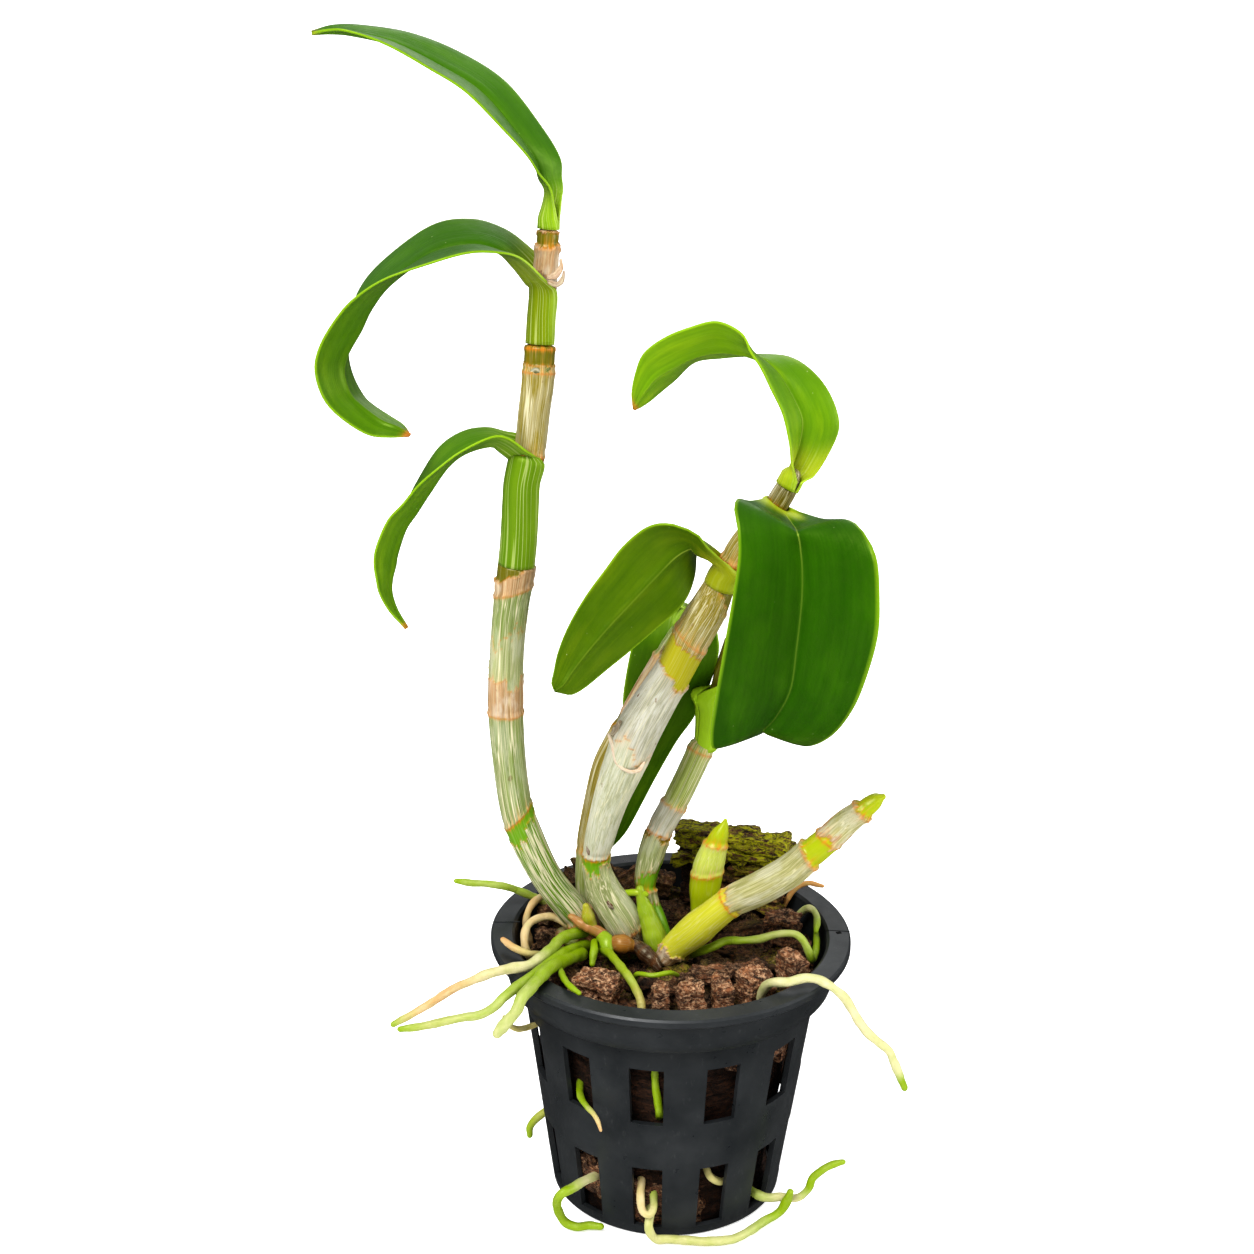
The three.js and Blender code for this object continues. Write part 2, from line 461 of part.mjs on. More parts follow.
// A leaf blade: a folded strip with an even thickness, split alike on both faces.
function bladeSolid(rows, ribs = 4) {
  const read = smoothRows(rows);
  const steps = rows.length + 2;
  const across = ribs + 1;
  const centre = [];
  for (let i = 0; i <= steps; i += 1) {
    const t = i / steps;
    const here = read(t);
    const ahead = read(Math.min(t + 0.01, 1));
    const behind = read(Math.max(t - 0.01, 0));
    const along = new THREE.Vector3(ahead[0] - behind[0], ahead[1] - behind[1], ahead[2] - behind[2]).normalize();
    const span = new THREE.Vector3(here[3], here[4], here[5]);
    const under = along.clone().cross(span).normalize();
    for (let k = 0; k < across; k += 1) {
      const v = 2 * k / ribs - 1;
      const point = new THREE.Vector3(here[0], here[1], here[2])
        .addScaledVector(span, v / 2)
        .addScaledVector(under, here[6] * (1 - Math.abs(v) ** 1.5));
      centre.push(point);
    }
  }
  const at = (i, k) => centre[i * across + k];
  const positions = [];
  for (const face of [-0.5, 0.5]) {
    for (let i = 0; i <= steps; i += 1) {
      for (let k = 0; k < across; k += 1) {
        const forward = at(Math.min(i + 1, steps), k).clone().sub(at(Math.max(i - 1, 0), k));
        const sideways = at(i, Math.min(k + 1, ribs)).clone().sub(at(i, Math.max(k - 1, 0)));
        const normal = forward.cross(sideways).normalize();
        const point = at(i, k).clone().addScaledVector(normal, face * LEAF_THICKNESS);
        positions.push(point.x, point.y, point.z);
      }
    }
  }
  const triangles = [];
  const layer = centre.length;
  for (let i = 0; i < steps; i += 1) {
    for (let k = 0; k < ribs; k += 1) {
      const a = i * across + k;
      const b = a + 1;
      const c = a + across;
      const d = c + 1;
      triangles.push(a, c, b, b, c, d);
      triangles.push(layer + a, layer + b, layer + c, layer + b, layer + d, layer + c);
    }
  }
  const edge = [];
  for (let k = 0; k < ribs; k += 1) edge.push([k, k + 1]);
  for (let i = 0; i < steps; i += 1) edge.push([i * across + ribs, (i + 1) * across + ribs]);
  for (let k = ribs; k > 0; k -= 1) edge.push([steps * across + k, steps * across + k - 1]);
  for (let i = steps; i > 0; i -= 1) edge.push([i * across, (i - 1) * across]);
  for (const [a, b] of edge) triangles.push(a, b, layer + a, b, layer + b, layer + a);
  return solidFrom(positions, triangles);
}

function rootRings([footRadius, tipRadius, line], margin = 0) {
  const read = smoothRows(line);
  const steps = Math.max(4, Math.round(lineLength(read) / ROOT_STEP));
  const rings = [];
  for (let i = 0; i <= steps; i += 1) {
    const t = i / steps;
    const [x, y, z] = read(t);
    const end = t === 1 ? 0.55 : 1;
    rings.push([x, y, z, (footRadius + (tipRadius - footRadius) * t) * end + margin]);
  }
  return rings;
}

// An irregular block: a box of small faces with its corners drawn in and its points shifted.
function chunkSolid({ at, size, turn, seed, cuts, lean = 0 }, margin = 0) {
  const random = randomStream(seed);
  const box = new THREE.BoxGeometry(1, 1, 1, ...cuts);
  box.deleteAttribute('normal');
  box.deleteAttribute('uv');
  const merged = mergeVertices(box, 1e-4);
  const spots = merged.attributes.position;
  for (let i = 0; i < spots.count; i += 1) {
    const point = new THREE.Vector3().fromBufferAttribute(spots, i);
    const corner = Math.abs(point.x) + Math.abs(point.y) + Math.abs(point.z);
    const draw = 1 - 0.09 * Math.max(0, corner - 1) / 0.5;
    const shift = () => 0.14 * (random() - 0.5);
    point.set(point.x * draw + shift(), point.y * draw + shift(), point.z * draw + shift());
    point.set(
      point.x * (size[0] + 2 * margin),
      point.y * (size[1] + 2 * margin),
      point.z * (size[2] + 2 * margin),
    );
    spots.setXYZ(i, point.x, point.y, point.z);
  }
  merged.rotateX(THREE.MathUtils.degToRad(lean));
  merged.rotateZ(THREE.MathUtils.degToRad(turn));
  merged.translate(...at);
  return solidFrom(Array.from(spots.array), Array.from(merged.index.array));
}

function ballSolid([x, y, z, radius], margin = 0) {
  const geometry = new THREE.SphereGeometry(radius + margin, 10, 7);
  geometry.scale(1, 1, 1.1);
  geometry.translate(x, y, z);
  return solidFromGeometry(geometry);
}

function rhizomeSolid(margin = 0) {
  const read = smoothRows(RHIZOME);
  const rings = [];
  for (let i = 0; i <= 10; i += 1) {
    const [x, y, z, radius] = read(i / 10);
    rings.push([x, y, z, radius + margin]);
  }
  return RHIZOME_BUDS.reduce((body, bud) => body.add(ballSolid(bud, margin)), bar(rings, 10, margin));
}

function potSolid() {
  const inner = (z) => wallRadius(z) - WALL_THICKNESS;
  const body = turned([
    [0, 0], [POT_FOOT_RADIUS - 0.8, 0], [POT_FOOT_RADIUS, 0.8], [wallRadius(COLLAR_FOOT), COLLAR_FOOT],
    [COLLAR_RADIUS_LOW, COLLAR_FOOT], [COLLAR_RADIUS_HIGH, POT_HEIGHT - RIM_DROP],
    [RIM_RADIUS, POT_HEIGHT - RIM_DROP], [RIM_RADIUS, POT_HEIGHT], [MOUTH_RADIUS, POT_HEIGHT],
    [MOUTH_RADIUS - 0.4, COLLAR_FOOT + 3], [inner(COLLAR_FOOT), COLLAR_FOOT - 1],
    [inner(FLOOR_THICKNESS), FLOOR_THICKNESS], [0, FLOOR_THICKNESS],
  ], POT_SIDES);
  const cutters = [];
  for (const [low, high] of SLOT_ROWS) {
    for (let i = 0; i < SLOTS_IN_ROW; i += 1) {
      const angle = SLOT_PHASE + i * 360 / SLOTS_IN_ROW;
      cutters.push(slotCutter(low, high, angle));
    }
  }
  for (let i = 0; i < DRAIN_SLOTS; i += 1) {
    const hole = new THREE.BoxGeometry(DRAIN_SLOT_SIZE[0], DRAIN_SLOT_SIZE[1], 4 * FLOOR_THICKNESS);
    hole.translate(DRAIN_SLOT_RADIUS, 0, 0);
    hole.rotateZ(2 * Math.PI * i / DRAIN_SLOTS);
    cutters.push(solidFromGeometry(hole));
  }
  return cutters.reduce((pot, cutter) => pot.subtract(cutter), body);
}

// A slot's hole, narrower towards its foot as the wall draws in.
function slotCutter(low, high, angle) {
  const box = new THREE.BoxGeometry(2, 12, high - low);
  const spots = box.attributes.position;
  const middle = (low + high) / 2;
  for (let i = 0; i < spots.count; i += 1) {
    const z = spots.getZ(i) + middle;
    const half = wallRadius(z) * Math.sin(THREE.MathUtils.degToRad(SLOT_HALF_ANGLE));
    spots.setXYZ(i, spots.getX(i) * half, spots.getY(i) - wallRadius(middle), z);
  }
  box.rotateZ(THREE.MathUtils.degToRad(angle));
  return solidFromGeometry(box);
}

// The bark mix: a core with rings of chunks standing out of it, kept inside the pot.
function barkFillSolid() {
  const room = wallRadius(0) - WALL_THICKNESS - CLEARANCE - 0.1;
  const reach = (z) => room + WALL_SPREAD * z;
  const cavity = turned([
    [0, FLOOR_THICKNESS + CLEARANCE], [reach(FLOOR_THICKNESS), FLOOR_THICKNESS + CLEARANCE],
    [reach(COLLAR_FOOT - 1.4), COLLAR_FOOT - 1.4], [reach(COLLAR_FOOT), POT_HEIGHT - 1], [0, POT_HEIGHT - 1],
  ], POT_SIDES);
  let body = turned([
    [0, 2.2], [reach(0) - 5, 2.2], [reach(30) - 5.5, 30], [reach(BARK_SETTLE) - 6, BARK_SETTLE - 2.5],
    [15, BARK_SETTLE], [0, BARK_SETTLE],
  ], 14);
  const random = randomStream(41);
  BARK_LAYERS.forEach(([height, tall], layer) => {
    for (let i = 0; i < BARK_RING_CHUNKS; i += 1) {
      const angle = 2 * Math.PI * (i + 0.5 * (layer % 2) + 0.3 * random()) / BARK_RING_CHUNKS;
      const radius = reach(height) - 3.4 - 1.4 * random();
      body = body.add(chunkSolid({
        at: [radius * Math.sin(angle), -radius * Math.cos(angle), height + 2 * random() - 1],
        size: [12 + 3 * random(), 7, tall - 1 + 2 * random()],
        turn: THREE.MathUtils.radToDeg(angle) + 24 * (random() - 0.5),
        lean: 16 * (random() - 0.5),
        seed: 100 + 20 * layer + i,
        cuts: [1, 1, 1],
      }));
    }
  });
  for (let i = 0; i < 13; i += 1) {
    const angle = 2.4 * i;
    const radius = 31 * Math.sqrt((i + 0.6) / 13);
    body = body.add(chunkSolid({
      at: [radius * Math.sin(angle), -radius * Math.cos(angle), BARK_SETTLE + 0.6 + 2 * random()],
      size: [12 + 4 * random(), 7 + 3 * random(), 5],
      turn: 180 * random(),
      lean: 22 * (random() - 0.5),
      seed: 300 + i,
      cuts: [1, 1, 1],
    }));
  }
  return body.intersect(cavity);
}

// What is left of a solid beside its neighbours' holes: its largest body.
function clearOf(solid, holes) {
  let body = solid;
  const box = () => body.boundingBox();
  for (const hole of holes) {
    const own = box();
    const theirs = hole.boundingBox();
    const meets = [0, 1, 2].every((k) => own.min[k] < theirs.max[k] && theirs.min[k] < own.max[k]);
    if (meets) body = body.subtract(hole);
  }
  const parts = body.decompose();
  return parts.reduce((best, part) => (part.volume() > best.volume() ? part : best));
}

const plant = new THREE.Group();

function addPiece(name, solid, colour, roughness) {
  const mesh = solid.getMesh();
  const geometry = new THREE.BufferGeometry();
  geometry.setAttribute('position', new THREE.BufferAttribute(new Float32Array(mesh.vertProperties), 3));
  geometry.setIndex(Array.from(mesh.triVerts));
  const material = new THREE.MeshStandardMaterial({ color: colour, roughness, metalness: 0 });
  const piece = new THREE.Mesh(geometry, material);
  piece.name = name;
  plant.add(piece);
}

addPiece('pot', potSolid(), 0x333638, 0.45);

const caneHoles = [];
const CANE_COLOURS = {
  cane_tall: 0xb9b394, cane_middle: 0xc9c4b6, cane_right: 0xb4b693,
  cane_hidden: 0xa7a283, cane_young: 0xc6c387, shoot_new: 0x9fb83a,
};
for (const [name, cane] of Object.entries(CANES)) {
  addPiece(name, clearOf(caneSolid(cane), caneHoles), CANE_COLOURS[name], 0.6);
  caneHoles.push(caneSolid(cane, CLEARANCE));
}

addPiece('rhizome', clearOf(rhizomeSolid(), caneHoles), 0x7f9a3c, 0.6);
const plantHoles = [...caneHoles, rhizomeSolid(CLEARANCE)];

for (const [name, leaf] of Object.entries(LEAVES)) {
  const cane = CANES[leaf.cane];
  const body = bladeSolid(leaf.rows, leaf.ribs).add(sheathSolid(cane, leaf.sheath));
  addPiece(name, clearOf(body, plantHoles), 0x2f7a1f, 0.35);
}

const rootHoles = [];
for (const [name, root] of Object.entries(ROOTS)) {
  addPiece(name, clearOf(bar(rootRings(root), ROOT_SIDES), [...plantHoles, ...rootHoles]), 0xa9c24a, 0.55);
  rootHoles.push(bar(rootRings(root, CLEARANCE), ROOT_SIDES, CLEARANCE));
}

const barkHoles = [];
for (const [name, chunk] of Object.entries(BARK)) {
  addPiece(name, clearOf(chunkSolid(chunk), [...plantHoles, ...rootHoles, ...barkHoles]), chunk.colour, 0.9);
  barkHoles.push(chunkSolid(chunk, CLEARANCE));
}

addPiece('bark_fill', clearOf(barkFillSolid(), [...plantHoles, ...rootHoles, ...barkHoles]), 0x4a3226, 0.95);

export default plant;
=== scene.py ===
"""A small orchid in a slotted net pot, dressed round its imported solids."""

import math
import random

import bmesh
import bpy
from bpy.props import FloatProperty, FloatVectorProperty, IntProperty, PointerProperty
from mathutils import Matrix, Vector, noise


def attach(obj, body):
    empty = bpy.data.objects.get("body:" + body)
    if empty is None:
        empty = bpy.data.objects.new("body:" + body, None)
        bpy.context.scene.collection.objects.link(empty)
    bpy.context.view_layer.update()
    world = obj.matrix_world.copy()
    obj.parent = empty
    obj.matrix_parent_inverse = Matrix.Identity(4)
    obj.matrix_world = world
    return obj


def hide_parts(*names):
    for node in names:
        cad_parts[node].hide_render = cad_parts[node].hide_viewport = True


bl_info = {
    "name": "Potted Dendrobium",
    "version": (1, 0, 0),
    "blender": (4, 5, 0),
    "location": "View3D > Sidebar > Orchid",
    "description": "Builds a small orchid with its canes, leaves, roots, bark and net pot",
    "category": "Object",
}

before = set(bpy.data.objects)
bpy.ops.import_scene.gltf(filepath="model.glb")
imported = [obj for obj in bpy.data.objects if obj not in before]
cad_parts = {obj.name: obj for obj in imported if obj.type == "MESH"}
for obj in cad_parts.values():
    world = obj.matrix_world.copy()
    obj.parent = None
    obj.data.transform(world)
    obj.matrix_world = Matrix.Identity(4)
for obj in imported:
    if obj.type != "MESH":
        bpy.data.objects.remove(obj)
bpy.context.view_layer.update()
MM = 0.001
GOLDEN_ANGLE = 2.399963
GOLDEN_SHARE = 0.618034

# Canes: a line of points with a radius at each, in millimetres, as in the solids.
# Bands run along the cane: where each starts, its finish, how far its edge slants from
# one side to the other, and how deeply that edge is torn. Rings are the leaf scars.
CANES = {
    "cane_tall": {
        "line": [
            (-20.5, 3, 67.5, 3.2), (-23.1, 3, 71.7, 3.9), (-30.9, 2, 82.9, 3.8), (-36.3, 0, 95.8, 4.1),
            (-38.6, -1, 104.6, 3.9), (-40, -2, 117, 3.9), (-40.7, -3, 129.7, 4.1),
            (-40.4, -3, 142.5, 3.9), (-39.5, -3, 154, 4), (-38, -3, 165, 4.4), (-37.2, -3, 173, 4.4),
            (-36.3, -3, 186.6, 4.1), (-34.7, -2, 193.7, 3.5), (-33.6, -2, 203, 3.5),
            (-32.8, -1, 209.6, 3.6), (-32.3, 0, 219, 3.4), (-31.7, 1, 228, 3), (-31, 2, 236.8, 2.5),
            (-30.6, 3, 242.6, 2.4), (-30.4, 3, 245.5, 1.4),
        ],
        "wraps": [(166, 191, 4.4), (217, 229.5, 3.4), (242.4, 246.4, 2.6)],
        "bands": [
            (-5, "blush", 0, 0), (5, "net", 3, 1.6), (33, "fresh", 7, 2.4), (38.7, "veined", 5.6, 0.3),
            (66.7, "tan", 0, 0.3), (76, "silver", -3, 2.2), (86, "veined", 6, 3),
            (97.5, "tan", 4, 0.4), (102.6, "olive", 6, 0.8), (130.6, "straw", 0, 0.4),
            (151.3, "olive", 0, 0.3), (169, "brown", 0, 0.6), (171.2, "tan", 1, 0.8),
            (177.4, "olive", 0.6, 0.9), (180.6, "tan", 0, 0.8),
        ],
        "rings": [(5, 0), (38.7, 5.6), (66.7, 0), (97.5, 4), (130.4, 0), (149.6, 0), (155, 0), (177, 0.6)],
    },
    "cane_middle": {
        "line": [
            (-9.5, 0, 66.5, 3.2), (-10.8, 0, 69.5, 4.2), (-12.6, 0, 73.5, 4.6), (-16.8, 1, 80.1, 4.2),
            (-18.8, 1, 87.7, 3.3), (-17.7, 0, 96.1, 3.6), (-15.4, -1, 105.7, 4.2),
            (-12.2, -2, 115.4, 5), (-9, -3, 124.7, 5.3), (-4.4, -4, 133.9, 4.8),
            (-0.4, -5, 141.4, 4.5), (3.5, -6, 150.4, 4.6), (7.6, -7, 158.5, 4.2), (11.1, -8, 167.2, 3),
            (14.4, -9, 174, 2.7), (18, -10, 179, 2.6), (21.6, -10, 183.3, 2.6),
            (24.3, -10, 188.2, 2.4), (25.5, -10, 190.5, 1.4),
        ],
        "wraps": [(162.5, 167, 3.9), (179.6, 183.4, 3.3), (187.2, 190, 2.9)],
        "bands": [
            (-5, "brown", 0, 0), (2.6, "silver", 3, 2.2), (21.5, "fresh", 1.5, 2.6),
            (25.8, "ash", 1, 0.4), (57.5, "white", -4, 2.4), (80.3, "yellow", -5.4, 1.2),
            (88, "straw", -3, 0.8), (105, "olive", -11, 1.6), (111.9, "straw", 0, 0.5),
            (125.6, "yellow", 0, 0.3), (129.4, "umber", 0, 0.4),
        ],
        "rings": [(3.4, 1), (25.8, 1), (90, -3), (111.9, 0), (125.6, 0)],
    },
    "cane_right": {
        "line": [
            (-1.8, 4, 66, 2.2), (-3.6, 4, 70.5, 2.6), (-6.4, 6, 78.2, 2.6), (-5, 8, 87.1, 3.2),
            (-2.4, 9, 94.6, 3.1), (1.3, 10, 101.8, 3.1), (5.5, 11, 111.2, 3.1), (9, 12, 120, 3.1),
            (11, 12.5, 127, 2.8), (12.5, 13, 135, 2.6), (13.5, 13.5, 142, 1.6),
        ],
        "wraps": [(115.2, 128.5, 3.5)],
        "bands": [
            (-5, "fresh", 0, 0), (8, "silver", 4, 1.5), (12.8, "fresh", 0, 0.4),
            (16.4, "silver", 5, 2.4), (27, "olive", 0, 1.2), (28.6, "white", 0, 0.8),
            (36.4, "mist", 0, 1), (60, "olive", 0, 0.5),
        ],
        "rings": [(12.8, 0), (28.6, 0), (36.4, 0), (52, 0)],
    },
    "cane_hidden": {
        "line": [
            (-18.5, 11, 65, 2.6), (-21, 12, 75, 3), (-21.2, 12, 85.4, 2.7), (-20.4, 12, 92.4, 2.8),
            (-17.4, 11, 108, 3), (-14.4, 10.5, 115.5, 3.1), (-10.5, 10, 123, 3.1), (-5.5, 10, 133, 3),
            (0, 10, 143, 2.8), (5, 10, 151.5, 2.4), (6.6, 10, 154.4, 1.2),
        ],
        "wraps": [(145.5, 150.5, 3.4)],
        "bands": [(-5, "mist", 0, 0), (22, "straw", 2, 1), (56, "olive", 2, 1), (60, "tan", 0, 1),
                  (78, "veined", 0, 0.5)],
        "rings": [(22, 2), (58, 2), (78, 0)],
    },
    "cane_young": {
        "line": [
            (-1.2, -6, 65.6, 2.4), (0.8, -6, 68.1, 3.4), (6.2, -7, 73.9, 4.2), (9.6, -8, 77.7, 3.9),
            (14.7, -9, 82.7, 3.7), (21.9, -10, 87.2, 3.9), (28.2, -11, 92, 3.8),
            (32.6, -12, 96.9, 3.5), (37, -13, 101.6, 3.2), (41.1, -13, 106.1, 2.9),
            (44.4, -14, 109.4, 2.5), (47.6, -14, 112.2, 1.9), (49.2, -14, 113.2, 0.8),
        ],
        "wraps": [],
        "bands": [
            (-5, "tan", 0, 0), (2.5, "butter", 2, 1.6), (22.6, "cream", 0, 1.4),
            (46.6, "lime", -2, 0.5), (53.2, "tan", 1, 1.2), (56, "cream", 0, 3),
            (64.2, "lime", 0, 0.8),
        ],
        "rings": [(22.6, 0), (46.6, -2), (53.2, 1), (64.2, 0)],
    },
    "shoot_new": {
        "line": [
            (7.5, 5, 66, 2), (8.2, 6, 73.9, 3.2), (8.5, 6, 79, 3.9), (9.3, 6, 84.4, 3.9),
            (10.5, 6, 89.1, 3.3), (11.9, 6, 93.4, 2.3), (12.9, 6, 96, 1.2), (13.2, 6, 97.4, 0.5),
        ],
        "wraps": [],
        "bands": [(-5, "lime", 0, 0), (17.2, "pale", 2.4, 0.5), (25.4, "lime", 1, 0.3)],
        "rings": [(17.2, 2.4), (25.4, 1)],
    },
}

# Dry flakes and bud eyes on the canes: two colours, how flat each is, and its line with radii.
FLAKES = [
    ("cane_tall", 0x9a6436, 0xc9a27e, 0.6,
     [(-30.2, -3.3, 233.4, 0.5), (-28.7, -3.7, 233.9, 0.8), (-27.6, -3.6, 235.4, 0.6),
      (-27.6, -3.4, 237.2, 0.3)]),
    ("cane_tall", 0x6f4424, 0xb08a64, 0.6,
     [(-30, -3.2, 232.2, 0.6), (-28.4, -3.6, 231.8, 0.7), (-27.2, -3.6, 233, 0.5),
      (-26.9, -3.4, 234.6, 0.25)]),
    ("cane_tall", 0x35371c, 0x62643c, 0.45,
     [(-34.2, -4.0, 211.8, 0.7), (-33.2, -4.2, 212.2, 1.0), (-32.2, -4.2, 212, 0.6)]),
    ("cane_tall", 0x4c520c, 0x70741c, 0.45,
     [(-31.4, -3.9, 212, 0.6), (-30.7, -3.6, 212.6, 0.9), (-30, -3.0, 212.4, 0.4)]),
    ("cane_middle", 0xb27a50, 0xd8cfc0, 0.35,
     [(-16, -4.4, 124.4, 0.3), (-14.9, -5.6, 121.8, 0.55), (-13.9, -6.7, 118, 0.45),
      (-11.2, -7.9, 116.3, 0.45),
      (-8.6, -7.6, 116.5, 0.55), (-7.4, -7, 118.2, 0.3)]),
    ("cane_middle", 0xb27a50, 0xd8cfc0, 0.35,
     [(-8.4, -6.9, 119, 0.3), (-6.8, -6, 119.6, 0.6), (-5.6, -5, 121, 0.45), (-5, -4.6, 122.8, 0.2)]),
    ("cane_middle", 0x5e4c3e, 0xa0907e, 0.3,
     [(-15.2, -4.8, 124.4, 0.5), (-14.2, -5.8, 126.4, 0.9), (-13.2, -6.6, 128.6, 0.4)]),
    ("cane_middle", 0x4a2c14, 0x7a5a34, 0.4,
     [(-9.0, -5.4, 133.8, 0.4), (-8.7, -5.9, 134.8, 0.65), (-8.3, -6.1, 135.6, 0.4)]),
    ("cane_middle", 0x5a4424, 0x7a6038, 0.4,
     [(-10.7, -7.9, 121.7, 0.3), (-10, -8, 122.1, 0.5), (-9.4, -7.9, 122, 0.25)]),
    ("cane_middle", 0x4a1e10, 0x6a3216, 0.4,
     [(-20.9, -1.9, 93.4, 0.3), (-20.6, -2.2, 92.5, 0.65), (-20.6, -2.2, 91.6, 0.3)]),
    ("cane_middle", 0x3e1a10, 0x5a2a18, 0.4,
     [(-15.8, -3.9, 79.4, 0.35), (-15.1, -4.3, 78.6, 0.6), (-14.6, -4.5, 78, 0.3)]),
]

